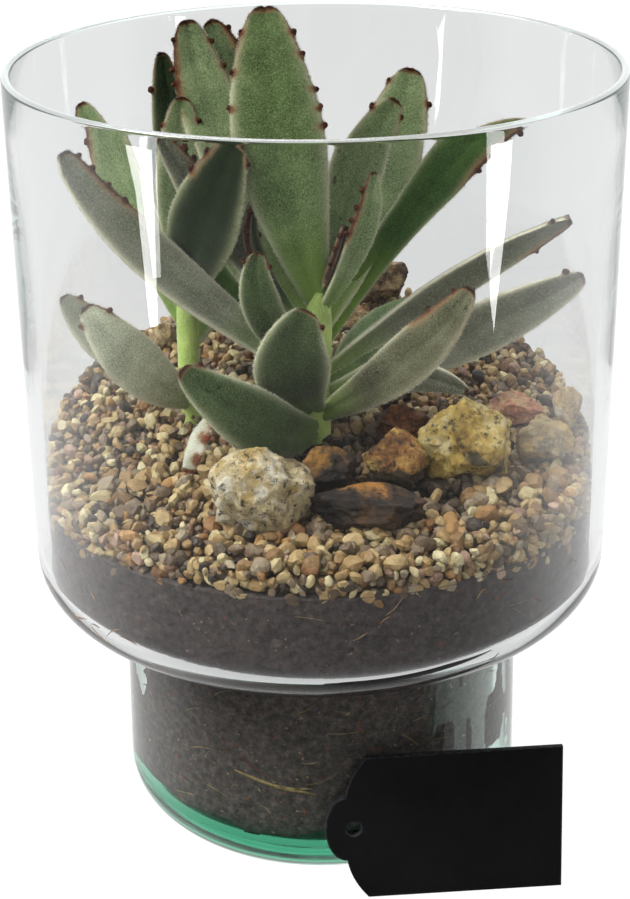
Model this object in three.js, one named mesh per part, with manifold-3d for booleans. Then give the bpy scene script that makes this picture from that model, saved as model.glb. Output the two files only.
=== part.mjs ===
// Glass plant terrarium: a clear footed jar filled with soil and gravel, in which two leafy stems of a
// felted succulent stand among stones, with a plain tag leaning on the jar's foot.
// Millimetres, +Z up. The origin is the middle of the jar's flat base, and -Y is the front.
import * as THREE from "three";
import { mergeVertices } from "three/addons/utils/BufferGeometryUtils.js";
import Module from "manifold-3d";

const wasm = await Module();
wasm.setup();

// ---- Driving dimensions -------------------------------------------------------------------------

const GAP = 0.3; // air between pieces that touch
const ROUND_STEPS = 48; // flats around the jar and its filling

// The jar: a wide cylinder on a narrower foot, blown in one piece
const JAR_RADIUS = 95;
const JAR_HEIGHT = 256;
const WALL = 4.2;
const FOOT_RADIUS = 67.6;
const FOOT_TOP_RADIUS = 66.4;
const FOOT_WALL = 5.4;
const BASE_THICKNESS = 9.5;
const SHOULDER_HEIGHT = 81.5; // underside of the wide cylinder
const SHOULDER_THICKNESS = 5;
const SHOULDER_CORNER = 15.5;
const FOOT_CORNER = 15;
const FLOOR_CORNER = 7; // inside the foot, where its wall meets the base
const NECK_ROUND = 3; // where foot and shoulder meet

// The filling
const SOIL_HEIGHT = 119.7; // top of the soil, under the gravel
const GRAVEL_BOTTOM = SOIL_HEIGHT + GAP;
const GRAVEL_MIDDLE_HEIGHT = 136;
const GRAVEL_SLOPE = 0.125; // the gravel rises towards the back
const GRAIN_SPACING = 8.3;
const GRAIN_RELIEF = 2.6;

// The plant
const MAIN_STEM_RADIUS = 4.2;
const SIDE_STEM_RADIUS = 3.6;
const STEM_FOOT_HEIGHT = 104; // how deep the stems reach into the soil
const LEAF_BASE_SHARE = 0.3; // a leaf's width where it leaves the stem, as a share of its full width
const LEAF_CUP = 1.2; // how far the margins stand above the middle of a blade
const TOOTH = 1.3; // how far a tooth stands out of the margin
const FIRST_TOOTH = 0.5; // place of the lowest tooth along a blade

// The tag
const TAG_WIDTH = 63.2;
const TAG_HEIGHT = 49.3;
const TAG_THICKNESS = 2.4;
const TAG_LOBE = 6.9; // how far the rounded end stands out of the sloping corners
const TAG_SHOULDER = 6.8; // how far the sloping corners reach past the rectangle
const TAG_HOLE_RADIUS = 2.3;
const TAG_CORNER = new THREE.Vector3(14.5, -75.2, 0); // lower left corner of the tag's front
const TAG_TURN = 4.6; // degrees about Z
const TAG_LEAN = 8.6; // degrees back from upright

const radians = THREE.MathUtils.degToRad;
const vector = (x, y, z) => new THREE.Vector3(x, y, z);

// A repeatable draw between 0 and 1.
function seededDraw(seed) {
  let state = seed;
  return () => {
    state = (state * 1664525 + 1013904223) % 4294967296;
    return state / 4294967296;
  };
}

// ---- Solids and meshes --------------------------------------------------------------------------

// A closed geometry as a solid that can be joined and cut.
function solidOf(geometry) {
  const loose = geometry.index ? geometry.toNonIndexed() : geometry;
  const bare = new THREE.BufferGeometry();
  bare.setAttribute("position", loose.getAttribute("position"));
  const merged = mergeVertices(bare, 1e-4);
  const corners = Array.from(merged.index.array);
  const kept = [];
  for (let i = 0; i < corners.length; i += 3) {
    const [a, b, c] = corners.slice(i, i + 3);
    if (a !== b && b !== c && c !== a) {
      kept.push(a, b, c);
    }
  }
  const vertProperties = new Float32Array(merged.getAttribute("position").array);
  const triVerts = new Uint32Array(kept);
  return new wasm.Manifold(new wasm.Mesh({ numProp: 3, vertProperties, triVerts }));
}

// The largest body of a solid: scraps that a cut leaves loose are dropped.
function largestBody(solid) {
  return solid.decompose().reduce((a, b) => (a.volume() > b.volume() ? a : b));
}

function geometryOf(solid) {
  const { vertProperties, triVerts } = solid.getMesh();
  const geometry = new THREE.BufferGeometry();
  geometry.setAttribute("position", new THREE.BufferAttribute(vertProperties, 3));
  geometry.setIndex(new THREE.BufferAttribute(triVerts, 1));
  geometry.computeVertexNormals();
  return geometry;
}

const terrarium = new THREE.Group();

function addPiece(name, solid, material) {
  const mesh = new THREE.Mesh(geometryOf(solid), material);
  mesh.name = name;
  terrarium.add(mesh);
}

function finish(color, roughness, more = {}) {
  return new THREE.MeshStandardMaterial({ color, roughness, metalness: 0, ...more });
}

// ---- The jar and its soil: profiles turned about Z ----------------------------------------------

// Points of an arc in the profile's plane, angles in degrees.
function arc(centreRadius, centreHeight, radius, from, to, steps) {
  const points = [];
  for (let i = 0; i <= steps; i += 1) {
    const angle = radians(from + ((to - from) * i) / steps);
    points.push([centreRadius + radius * Math.cos(angle), centreHeight + radius * Math.sin(angle)]);
  }
  return points;
}

function turned(profile) {
  const points = profile.map(([radius, height]) => new THREE.Vector2(Math.max(radius, 0), height));
  return solidOf(new THREE.LatheGeometry(points, ROUND_STEPS).rotateX(Math.PI / 2));
}

// The jar's inner surface from the middle of its floor up to the shoulder, moved inwards by clearance.
function innerProfile(clearance) {
  const footInside = FOOT_TOP_RADIUS - FOOT_WALL;
  const jarInside = JAR_RADIUS - WALL;
  const shoulderFloor = SHOULDER_HEIGHT + SHOULDER_THICKNESS;
  const innerCorner = SHOULDER_CORNER - WALL;
  return [
    [0, BASE_THICKNESS + clearance],
    ...arc(
      footInside - FLOOR_CORNER,
      BASE_THICKNESS + FLOOR_CORNER,
      FLOOR_CORNER - clearance,
      -90,
      0,
      3,
    ),
    ...arc(footInside + NECK_ROUND, shoulderFloor - NECK_ROUND, NECK_ROUND + clearance, 180, 90, 2),
    ...arc(jarInside - innerCorner, shoulderFloor + innerCorner, innerCorner - clearance, -90, 0, 4),
  ];
}

function jarSolid() {
  const rim = WALL / 2;
  const outside = [
    [0, 0],
    ...arc(FOOT_RADIUS - FOOT_CORNER, FOOT_CORNER, FOOT_CORNER, -90, 0, 5),
    ...arc(FOOT_TOP_RADIUS + NECK_ROUND, SHOULDER_HEIGHT - NECK_ROUND, NECK_ROUND, 180, 90, 2),
    ...arc(
      JAR_RADIUS - SHOULDER_CORNER,
      SHOULDER_HEIGHT + SHOULDER_CORNER,
      SHOULDER_CORNER,
      -90,
      0,
      5,
    ),
    ...arc(JAR_RADIUS - rim, JAR_HEIGHT - rim, rim, 0, 180, 4),
  ];
  return turned([...outside, ...innerProfile(0).reverse()]);
}

function soilSolid() {
  const inside = innerProfile(GAP);
  const topRadius = inside[inside.length - 1][0];
  return turned([...inside, [topRadius, SOIL_HEIGHT], [0, SOIL_HEIGHT]]);
}

// ---- Gravel: a sloping bed whose top is a honeycomb of grains ------------------------------------

// Height of the gravel, without its grains: a slope with a low mound behind the plant.
function gravelHeight(x, y) {
  const mound = 5 * Math.exp(-((x - 10) ** 2 + (y - 62) ** 2) / 1400);
  return GRAVEL_MIDDLE_HEIGHT + GRAVEL_SLOPE * y + mound;
}

// A triangular grid in which each third point is the top of a grain, closed below by one deep point.
function gravelTerrain() {
  const draw = seededDraw(11);
  const step = GRAIN_SPACING / Math.sqrt(3);
  const rowStep = (step * Math.sqrt(3)) / 2;
  const rows = 2 * Math.ceil(100 / rowStep) + 1;
  const columns = 2 * Math.ceil(100 / step) + 1;
  const points = [];
  for (let row = 0; row < rows; row += 1) {
    for (let column = 0; column < columns; column += 1) {
      const isGrain = (column + 2 * (row % 2)) % 3 === 0;
      const jitter = isGrain ? 0.5 : 0.28;
      const x = (column - (columns - 1) / 2 + (row % 2) / 2) * step + (draw() - 0.5) * jitter * step;
      const y = (row - (rows - 1) / 2) * rowStep + (draw() - 0.5) * jitter * step;
      const rise = isGrain ? GRAIN_RELIEF * (0.25 + 0.5 * draw()) : -GRAIN_RELIEF * (0.3 + 0.2 * draw());
      points.push(x, y, gravelHeight(x, y) + rise);
    }
  }
  const deep = points.length / 3;
  points.push(0, 0, -200);
  const at = (row, column) => row * columns + column;
  const faces = [];
  for (let row = 0; row + 1 < rows; row += 1) {
    for (let column = 0; column + 1 < columns; column += 1) {
      const [a, b] = [at(row, column), at(row, column + 1)];
      const [c, d] = [at(row + 1, column), at(row + 1, column + 1)];
      if (row % 2 === 0) {
        faces.push(a, b, c, b, d, c);
      } else {
        faces.push(a, b, d, a, d, c);
      }
    }
  }
  for (let column = 0; column + 1 < columns; column += 1) {
    faces.push(at(0, column + 1), at(0, column), deep);
    faces.push(at(rows - 1, column), at(rows - 1, column + 1), deep);
  }
  for (let row = 0; row + 1 < rows; row += 1) {
    faces.push(at(row, 0), at(row + 1, 0), deep);
    faces.push(at(row + 1, columns - 1), at(row, columns - 1), deep);
  }
  const terrain = new THREE.BufferGeometry();
  terrain.setAttribute("position", new THREE.Float32BufferAttribute(points, 3));
  terrain.setIndex(faces);
  return solidOf(terrain);
}

function gravelSolid() {
  const radius = JAR_RADIUS - WALL - GAP;
  const top = GRAVEL_MIDDLE_HEIGHT + 40;
  const body = turned([
    [0, GRAVEL_BOTTOM],
    [radius, GRAVEL_BOTTOM],
    [radius, top],
    [0, top],
  ]);
  return body.intersect(gravelTerrain());
}

// ---- Stones: rough faceted lumps -----------------------------------------------------------------

const STONES = [
  { name: "stone_pale_large", at: [-17.2, -60, 139.8], size: [32, 20, 28], turn: 10, color: 0xb8aa86 },
  { name: "stone_dark_flat", at: [13.8, -62, 135], size: [36, 15, 15.5], turn: -4, color: 0x4a3d2c },
  { name: "stone_brown", at: [3, -44, 138.8], size: [18, 12.5, 16], turn: 20, color: 0x6a4c2a },
  { name: "stone_brown_yellow", at: [23, -42.5, 142], size: [21, 16, 18], turn: -15, color: 0x8a6a3c },
  { name: "stone_striped", at: [47.5, -34, 142], size: [31, 20, 29], turn: 35, color: 0x9a8442 },
  { name: "stone_red", at: [64.5, -3, 141.5], size: [18, 14, 13], turn: 12, color: 0xa8684a },
  { name: "stone_orange", at: [26.5, -15, 142], size: [18, 13, 12], turn: -10, color: 0x7c4a26 },
  { name: "stone_grey_yellow", at: [71, -25, 139.5], size: [18, 15, 17], turn: 5, color: 0xa2916a },
  { name: "stone_tan_side", at: [82.5, -5, 142], size: [11, 14, 16], turn: 0, color: 0xb39a78 },
  { name: "stone_back", at: [23, 72, 158], size: [20, 15, 17], turn: 25, color: 0x84734c },
  { name: "stone_back_low", at: [15, 56, 148.5], size: [14, 13, 13], turn: -20, color: 0x8f8055 },
  { name: "stone_back_left", at: [-55, 50, 146.5], size: [11, 10, 12], turn: 15, color: 0xb8a070 },
];

// An icosahedron split once, each corner pushed in or out, stretched to size and widened by clearance.
function stoneSolid(stone, index, clearance) {
  const draw = seededDraw(100 + index);
  const ball = new THREE.IcosahedronGeometry(1, 1).deleteAttribute("normal").deleteAttribute("uv");
  const shape = mergeVertices(ball);
  const corners = shape.getAttribute("position");
  const [width, depth, height] = stone.size.map((side) => side / 2 + clearance);
  for (let i = 0; i < corners.count; i += 1) {
    const push = 0.9 + 0.18 * draw();
    corners.setXYZ(
      i,
      corners.getX(i) * push * width,
      corners.getY(i) * push * depth,
      corners.getZ(i) * push * height,
    );
  }
  shape.rotateZ(radians(stone.turn));
  shape.translate(...stone.at);
  return solidOf(shape);
}

// ---- The plant -----------------------------------------------------------------------------------

const STEMS = {
  main_stem: {
    radius: MAIN_STEM_RADIUS,
    path: [vector(-1, -8, STEM_FOOT_HEIGHT), vector(-0.5, -11, 145), vector(0.5, -8.5, 187)],
  },
  side_stem: {
    radius: SIDE_STEM_RADIUS,
    path: [vector(-40, 2, STEM_FOOT_HEIGHT), vector(-44, 4, 146), vector(-42.5, 7, 181)],
  },
};

function stemSolid(stem, clearance) {
  const [foot, middle, head] = stem.path;
  const deeper = vector(foot.x, foot.y, foot.z - clearance);
  const extrudePath = new THREE.QuadraticBezierCurve3(deeper, middle, head);
  const round = new THREE.Shape().absarc(0, 0, stem.radius + clearance, 0, 2 * Math.PI);
  return solidOf(new THREE.ExtrudeGeometry(round, { steps: 7, curveSegments: 5, extrudePath }));
}

// The colours of the felt, from the youngest leaves to the oldest.
const PALE_FELT = 0xb9c3a4;
const SAGE = 0x7d9272;
const DEEP_GREEN = 0x4f6b42;
const DARK_GREEN = 0x33452f;

// A leaf: its stem, the height share of its root there, its tip, the bend of its middle, its full width and
// thickness, the degrees its blade is turned about its length from facing the front, and its teeth a side.
function leafRow(name, stem, root, tip, bend, width, thick, turn, teeth, color = SAGE) {
  return { name, stem: STEMS[stem], root, tip, bend, width, thick, turn, teeth, color };
}

const LEAVES = [
  leafRow("leaf_centre_tall", "main_stem", 0.92, [-15, 1, 272], [-3, -10, 3], 26, 5, 0, 5),
  leafRow("leaf_centre_right", "main_stem", 0.9, [25, 7, 242], [-2, 2, 4], 16, 4.4, 15, 4),
  leafRow("leaf_back_right_tall", "main_stem", 0.82, [31, 25, 247.5], [3, 6, -1], 23, 4.5, -5, 4),
  leafRow("leaf_centre_small", "main_stem", 0.87, [17, -15, 223.5], [4, -4, 3], 8.5, 3.6, 30, 3),
  leafRow("leaf_bud", "main_stem", 0.95, [8.5, -16, 208], [1.5, -2, 1], 6, 3, 60, 2, DARK_GREEN),
  leafRow("leaf_right_high", "main_stem", 0.72, [72, 22, 228], [3, 7, 17], 13, 4.4, 5, 4, DEEP_GREEN),
  leafRow("leaf_right_long", "main_stem", 0.62, [82, 6, 202.5], [0, 4, 2], 10.5, 4.6, 35, 3),
  leafRow("leaf_right_wide", "main_stem", 0.53, [85, -8, 188], [4, 1, 0], 16, 5, 20, 3),
  leafRow("leaf_right_front", "main_stem", 0.46, [46, -38, 195], [3, -6, -1], 15, 6, -10, 3, DEEP_GREEN),
  leafRow("leaf_right_low", "main_stem", 0.47, [47.5, -16, 152.5], [1, -1, 9], 10, 4, 25, 2, PALE_FELT),
  leafRow("leaf_front_upright", "main_stem", 0.48, [-3, -34, 187], [-6.5, -9, 0], 22, 5.2, 0, 3),
  leafRow("leaf_front_low", "main_stem", 0.41, [-41, -50, 175], [-2, -6, 0], 20, 5.2, 10, 3),
  leafRow("leaf_front_small", "main_stem", 0.62, [-18, -24, 202.5], [-7, -5, 2], 11.5, 4, -8, 2),
  leafRow("leaf_curled_young", "main_stem", 0.33, [-40, -52, 142.5], [-8, -8, 9], 9, 3.6, -20, 3, PALE_FELT),
  leafRow("leaf_left_long", "main_stem", 0.6, [-78, -14, 230.5], [-9, -3, 3], 15, 5.4, 25, 5, PALE_FELT),
  leafRow("leaf_left_low", "side_stem", 0.46, [-72, -24, 185.5], [1, -8, -1], 16, 5, 10, 3, PALE_FELT),
  leafRow("leaf_left_low_back", "side_stem", 0.53, [-84, 2, 179], [-3, 0, -2], 14, 4.4, 15, 3),
  leafRow("leaf_side_broad", "side_stem", 0.96, [-23.5, -18, 233], [-3, -6, -1], 22, 5, -12, 3),
  leafRow("leaf_side_tall", "main_stem", 0.8, [-40, 18, 265], [-7, 3, 5], 19, 4.6, 10, 5),
  leafRow("leaf_side_tall_back", "main_stem", 0.84, [-33, 28, 263], [-2, 10, 6], 17, 4.4, -15, 5),
  leafRow("leaf_side_dark", "side_stem", 0.92, [-49.5, 30, 252.5], [0, 6, 5], 12, 4.2, 25, 3, DARK_GREEN),
  leafRow("leaf_side_inner", "side_stem", 0.88, [-41.5, 9, 243], [-1, 0, 3], 15, 4.2, 0, 2),
  leafRow("leaf_side_small", "main_stem", 0.72, [-49, -6, 231.5], [-3, 3, 4], 11, 4.2, 15, 4),
  leafRow("leaf_left_high", "side_stem", 0.78, [-75, 24, 238], [-2, 3, 4], 14, 4.6, -15, 3, PALE_FELT),
  leafRow("leaf_side_outer", "main_stem", 0.6, [-55, 34, 220], [-10, 11, -4], 11, 4.2, 0, 3, DEEP_GREEN),
  leafRow("leaf_side_edge", "main_stem", 0.73, [-19, -12, 216], [-9, -2, 5], 8, 3.6, 60, 3, DARK_GREEN),
  leafRow("leaf_back_left", "side_stem", 0.7, [-34, 60, 192], [3, 3, -2], 18, 4.8, 160, 3),
  leafRow("leaf_back_middle", "main_stem", 0.64, [1, 58, 203.5], [0, 7, 2], 18, 4.8, 175, 3),
  leafRow("leaf_back_right", "main_stem", 0.5, [36, 46, 160], [1, 6, 3], 16, 4.6, 150, 3),
];

const FRONT = vector(0, -0.91, 0.41).normalize();

// Stations along a blade: [place along it, margin stand-out]. Teeth alternate with notches up to the tip.
function leafStations(teeth) {
  const stations = [0, 0.1, 0.24, 0.38].map((place) => [place, 0]);
  const step = (0.97 - FIRST_TOOTH) / teeth;
  for (let i = 0; i < teeth; i += 1) {
    stations.push([FIRST_TOOTH + i * step, TOOTH]);
    stations.push([FIRST_TOOTH + (i + 0.5) * step, -0.3 * TOOTH]);
  }
  stations.push([0.97, 0]);
  return stations;
}

// Half of a blade's width, as a share of the most: a narrow root, widest past the middle, a round tip.
function widthShare(place) {
  return LEAF_BASE_SHARE * (1 - place) + Math.sin(Math.PI * place ** 1.3) ** 0.8 * (1 - 0.12 * (1 - place));
}

// A blade: rings of six points, two on the margins and two on each face, closed by a point at each end.
function leafSolid(leaf, clearance) {
  const root = new THREE.QuadraticBezierCurve3(...leaf.stem.path).getPoint(leaf.root);
  const tip = vector(...leaf.tip);
  const control = root.clone().add(tip).multiplyScalar(0.5).addScaledVector(vector(...leaf.bend), 2);
  const line = new THREE.QuadraticBezierCurve3(root, control, tip);
  const chord = tip.clone().sub(root).normalize();
  const across = chord.clone().cross(FRONT).normalize().applyAxisAngle(chord, radians(leaf.turn));
  const points = [root.toArray()];
  const ring = [
    [1, 0],
    [0.55, 1],
    [-0.55, 1],
    [-1, 0],
    [-0.55, -1],
    [0.55, -1],
  ];
  const stations = leafStations(leaf.teeth);
  for (const [place, standOut] of stations) {
    const middle = line.getPoint(place);
    const along = line.getTangent(place);
    const side = across.clone().addScaledVector(along, -across.dot(along)).normalize();
    const face = side.clone().cross(along);
    const halfWidth = (leaf.width / 2) * widthShare(place);
    const halfThickness = (leaf.thick / 2) * Math.sqrt(1 - 0.8 * place ** 5) + clearance;
    for (const [sideShare, faceShare] of ring) {
      const margin = Math.abs(sideShare) === 1 ? standOut : 0;
      const out = sideShare * (halfWidth + clearance) + Math.sign(sideShare) * margin;
      const rise = LEAF_CUP * (sideShare ** 2 - 0.4) + faceShare * halfThickness;
      const point = middle.clone().addScaledVector(side, out).addScaledVector(face, rise);
      points.push(point.toArray());
    }
  }
  points.push(tip.clone().addScaledVector(chord, clearance).toArray());
  const faces = [];
  const sides = ring.length;
  const last = points.length - 1;
  for (let k = 0; k < sides; k += 1) {
    const next = (k + 1) % sides;
    faces.push(0, 1 + k, 1 + next);
    for (let i = 0; i + 1 < stations.length; i += 1) {
      const [a, b] = [1 + i * sides + k, 1 + i * sides + next];
      faces.push(a, b + sides, b, a, a + sides, b + sides);
    }
    const top = 1 + (stations.length - 1) * sides;
    faces.push(top + next, top + k, last);
  }
  const blade = new THREE.BufferGeometry();
  blade.setAttribute("position", new THREE.Float32BufferAttribute(points.flat(), 3));
  blade.setIndex(faces);
  return solidOf(blade);
}

// ---- The tag: a board with a lobed, holed end ----------------------------------------------------

function tagSolid() {
  const lobeRise = 11.2;
  const middle = TAG_HEIGHT / 2;
  const outline = new THREE.Shape();
  outline.moveTo(0, 0);
  outline.lineTo(TAG_WIDTH, 0);
  outline.lineTo(TAG_WIDTH, TAG_HEIGHT);
  outline.lineTo(0, TAG_HEIGHT);
  outline.quadraticCurveTo(-5.5, TAG_HEIGHT - 6, -TAG_SHOULDER, middle + lobeRise);
  outline.absellipse(-TAG_SHOULDER, middle, TAG_LOBE, lobeRise, Math.PI / 2, 1.5 * Math.PI, false, 0);
  outline.quadraticCurveTo(-5.5, 6, 0, 0);
  const hole = new THREE.Path().absarc(-4.5, middle, TAG_HOLE_RADIUS, 0, 2 * Math.PI);
  outline.holes.push(hole);
  const board = new THREE.ExtrudeGeometry(outline, {
    depth: TAG_THICKNESS,
    bevelEnabled: false,
    curveSegments: 8,
  });
  board.translate(0, 0, -TAG_THICKNESS);
  board.rotateX(Math.PI / 2 - radians(TAG_LEAN));
  board.rotateZ(radians(TAG_TURN));
  board.translate(...TAG_CORNER.toArray());
  board.computeBoundingBox();
  board.translate(0, 0, -board.boundingBox.min.z);
  return solidOf(board);
}

// ---- Assembly: each piece is cut clear of the ones that it nests in or leans on ------------------

const glass = finish(0xdfeee8, 0.02, { transparent: true, opacity: 0.3 });
const earth = finish(0x2b2320, 0.95);
const grit = finish(0xa08c6c, 0.8);
const stemSkin = finish(0x9db37a, 0.7);
const board = finish(0x141517, 0.55);

const stemSolids = Object.values(STEMS).map((stem) => stemSolid(stem, 0));
const stemHoles = Object.values(STEMS).map((stem) => stemSolid(stem, GAP));
const stoneSolids = STONES.map((stone, index) => stoneSolid(stone, index, 0));
const stoneHoles = STONES.map((stone, index) => stoneSolid(stone, index, GAP));

const leafSolids = [];
const leafHoles = [];
for (const leaf of LEAVES) {
  let blade = leafSolid(leaf, 0);
  for (const hole of [...stemHoles, ...leafHoles, ...stoneHoles]) {
    blade = blade.subtract(hole);
  }
  leafSolids.push(largestBody(blade));
  leafHoles.push(leafSolid(leaf, GAP));
}

let soil = soilSolid();
let gravel = gravelSolid();
for (const hole of [...stemHoles, ...stoneHoles]) {
  soil = soil.subtract(hole);
}
for (const hole of [...stemHoles, ...stoneHoles, ...leafHoles]) {
  gravel = gravel.subtract(hole);
}

addPiece("glass_jar", jarSolid(), glass);
addPiece("soil", largestBody(soil), earth);
addPiece("gravel_bed", largestBody(gravel), grit);
Object.keys(STEMS).forEach((name, index) => addPiece(name, stemSolids[index], stemSkin));
STONES.forEach((stone, index) => {
  addPiece(stone.name, stoneSolids[index], finish(stone.color, 0.85));
});
LEAVES.forEach((leaf, index) => {
  addPiece(leaf.name, leafSolids[index], finish(leaf.color, 0.9));
});
addPiece("plain_tag", tagSolid(), board);

export default terrarium;
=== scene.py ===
"""Glass plant terrarium: an open footed jar with soil, gravel, rocks and a felted succulent.

The sizes below are in millimetres, as a maker would write them; every mesh is turned into metres when it is
made. The origin is the middle of the jar's flat base, -Y is the front and +Z is up.
"""

import math

import bpy
import numpy as np
from mathutils import Matrix


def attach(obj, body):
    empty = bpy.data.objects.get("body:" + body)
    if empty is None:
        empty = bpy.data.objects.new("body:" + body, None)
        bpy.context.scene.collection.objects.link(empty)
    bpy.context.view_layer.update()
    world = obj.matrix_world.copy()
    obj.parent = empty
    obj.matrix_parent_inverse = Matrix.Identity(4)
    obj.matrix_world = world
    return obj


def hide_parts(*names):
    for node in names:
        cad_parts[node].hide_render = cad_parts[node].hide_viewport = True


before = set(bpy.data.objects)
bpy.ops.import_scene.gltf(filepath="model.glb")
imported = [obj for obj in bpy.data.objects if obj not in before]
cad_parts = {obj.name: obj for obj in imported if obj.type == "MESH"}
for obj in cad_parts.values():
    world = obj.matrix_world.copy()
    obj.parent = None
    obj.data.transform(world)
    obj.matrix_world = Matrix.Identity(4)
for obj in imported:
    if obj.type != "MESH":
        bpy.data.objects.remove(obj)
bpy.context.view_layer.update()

MM = 0.001

# ---- Sizes shared with the model ------------------------------------------------------------------

GAP = 0.3  # air between pieces that touch
JAR_RADIUS = 95.0
JAR_HEIGHT = 256.0
WALL = 4.2
FOOT_RADIUS = 67.6
FOOT_TOP_RADIUS = 66.4
FOOT_WALL = 5.4
BASE_THICKNESS = 9.5
SHOULDER_HEIGHT = 81.5  # underside of the wide cylinder
SHOULDER_THICKNESS = 5.0
SHOULDER_CORNER = 15.5
FOOT_CORNER = 15.0
FLOOR_CORNER = 7.0  # inside the foot, where its wall meets the base
NECK_ROUND = 3.0  # where foot and shoulder meet
JAR_INSIDE = JAR_RADIUS - WALL
SOIL_HEIGHT = 119.7
GRAVEL_MIDDLE_HEIGHT = 136.0
GRAVEL_SLOPE = 0.125
LEAF_BASE_SHARE = 0.3  # a leaf's width where it leaves the stem, as a share of its full width
LEAF_CUP = 1.2  # how far the margins stand above the middle of a blade

# ---- Meshes ---------------------------------------------------------------------------------------


def add_piece(name, points, faces, finish, replaced=(), marks=None, flat=False, accent=None):
    """A mesh from points in millimetres and a list of face arrays, each (count, 3) or (count, 4).

    marks holds a value for each point, kept as a named attribute that the finish reads. accent is a
    second finish and which faces wear it.
    """
    mesh = bpy.data.meshes.new(name)
    corners = np.concatenate([f.ravel() for f in faces]).astype(np.int32)
    sizes = np.concatenate([np.full(len(f), f.shape[1]) for f in faces])
    starts = np.concatenate([[0], np.cumsum(sizes)[:-1]]).astype(np.int32)
    mesh.vertices.add(len(points))
    mesh.vertices.foreach_set("co", (np.asarray(points) * MM).astype(np.float32).ravel())
    mesh.loops.add(len(corners))
    mesh.polygons.add(len(sizes))
    mesh.polygons.foreach_set("loop_start", starts)
    mesh.loops.foreach_set("vertex_index", corners)
    mesh.polygons.foreach_set("use_smooth", np.full(len(sizes), not flat))
    if accent:
        mesh.polygons.foreach_set("material_index", accent[1].astype(np.int32))
    mesh.update(calc_edges=True)
    mesh.validate()
    for mark, values in (marks or {}).items():
        layer = mesh.attributes.new(mark, "FLOAT", "POINT")
        layer.data.foreach_set("value", np.asarray(values, np.float32).ravel())
    mesh.materials.append(finish)
    if accent:
        mesh.materials.append(accent[0])
    piece = bpy.data.objects.new(name, mesh)
    bpy.context.scene.collection.objects.link(piece)
    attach(piece, "root")
    if replaced:
        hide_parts(*replaced)


def grid_faces(rows, columns, round_rows=False):
    """Quads between the rows and columns of a grid; columns always close on themselves."""
    i = np.arange(rows if round_rows else rows - 1)[:, None]
    k = np.arange(columns)[None, :]
    below, above = i * columns, ((i + 1) % rows) * columns
    after = (k + 1) % columns
    return np.stack([below + k, below + after, above + after, above + k], -1).reshape(-1, 4)


def capped_tube(rings):
    """Points and faces of rings (rows, columns, 3) closed by a point at each end.

    The end points are the means of the first and the last ring.
    """
    rows, columns, _ = rings.shape
    points = np.concatenate([rings.reshape(-1, 3), rings[0].mean(0)[None], rings[-1].mean(0)[None]])
    k = np.arange(columns)
    after = (k + 1) % columns
    last = (rows - 1) * columns
    first_fan = np.stack([after, k, np.full(columns, rows * columns)], -1)
    last_fan = np.stack([last + k, last + after, np.full(columns, rows * columns + 1)], -1)
    return points, [grid_faces(rows, columns), first_fan, last_fan]


def ball_points(rows, columns):
    """Unit directions on a ball from its lowest to its highest point, as (rows, columns, 3)."""
    rise = np.linspace(-math.pi / 2, math.pi / 2, rows + 2)[1:-1, None]
    turn = np.linspace(0, 2 * math.pi, columns, endpoint=False)[None, :]
    level = np.cos(rise)
    x, y = level * np.cos(turn), level * np.sin(turn)
    return np.stack([x, y, np.broadcast_to(np.sin(rise), x.shape)], -1)


def joined(parts):
    """One list of points and faces from several (points, faces) pairs."""
    points, faces, start = [], [], 0
    for part_points, part_faces in parts:
        points.append(part_points)
        faces += [f + start for f in part_faces]
        start += len(part_points)
    return np.concatenate(points), faces


# Large primes that turn a lattice corner and a seed into a draw that looks random
CORNER_PRIMES = (73856093, 19349663, 83492791)
SEED_PRIME = 2654435761
MIXING_PRIME = 1274126177


def cloud(points, size, seed):
    """Smooth noise from -1 to 1: draws on a cubic lattice of that size, blended between its corners."""
    place = np.asarray(points) / size
    cell = np.floor(place).astype(np.int64)
    blend = place - cell
    blend = blend * blend * (3 - 2 * blend)
    total = np.zeros(place.shape[:-1])
    for corner in np.ndindex(2, 2, 2):
        x, y, z = np.moveaxis((cell + np.array(corner)) * CORNER_PRIMES, -1, 0)
        mixed = x ^ y ^ z ^ seed * SEED_PRIME
        mixed = (mixed ^ (mixed >> 13)) * MIXING_PRIME & 0xFFFFFFFF
        draw = ((mixed ^ (mixed >> 16)) & 0xFFFF) / 32767.5 - 1
        share = np.prod(np.where(np.array(corner) == 1, blend, 1 - blend), axis=-1)
        total += draw * share
    return total


NO_CUT, GRAZING = 9.0, 0.05  # a plane that a direction only grazes, or never meets, cuts nothing off


def cut_reach(directions, normals, reach):
    """How far each direction goes before it meets each plane: the plane's reach over their cosine."""
    cosine = directions @ normals.T
    return np.where(cosine > GRAZING, reach / np.maximum(cosine, GRAZING), NO_CUT)


def unit(vectors):
    """The same directions with a length of one."""
    return vectors / np.linalg.norm(vectors, axis=-1, keepdims=True)


def round_axis(radius, angle, height):
    """Points from their radius, angle and height about the jar's axis."""
    return np.stack(np.broadcast_arrays(radius * np.cos(angle), radius * np.sin(angle), height), -1)


def bezier(controls, place):
    """Points and directions of a curve with three control points, at places from 0 to 1."""
    a, b, c = (np.asarray(p, float) for p in controls)
    t = np.asarray(place, float)[..., None]
    point = (1 - t) ** 2 * a + 2 * t * (1 - t) * b + t**2 * c
    along = 2 * (1 - t) * (b - a) + 2 * t * (c - b)
    return point, unit(along)


# ---- Finishes -------------------------------------------------------------------------------------


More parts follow.
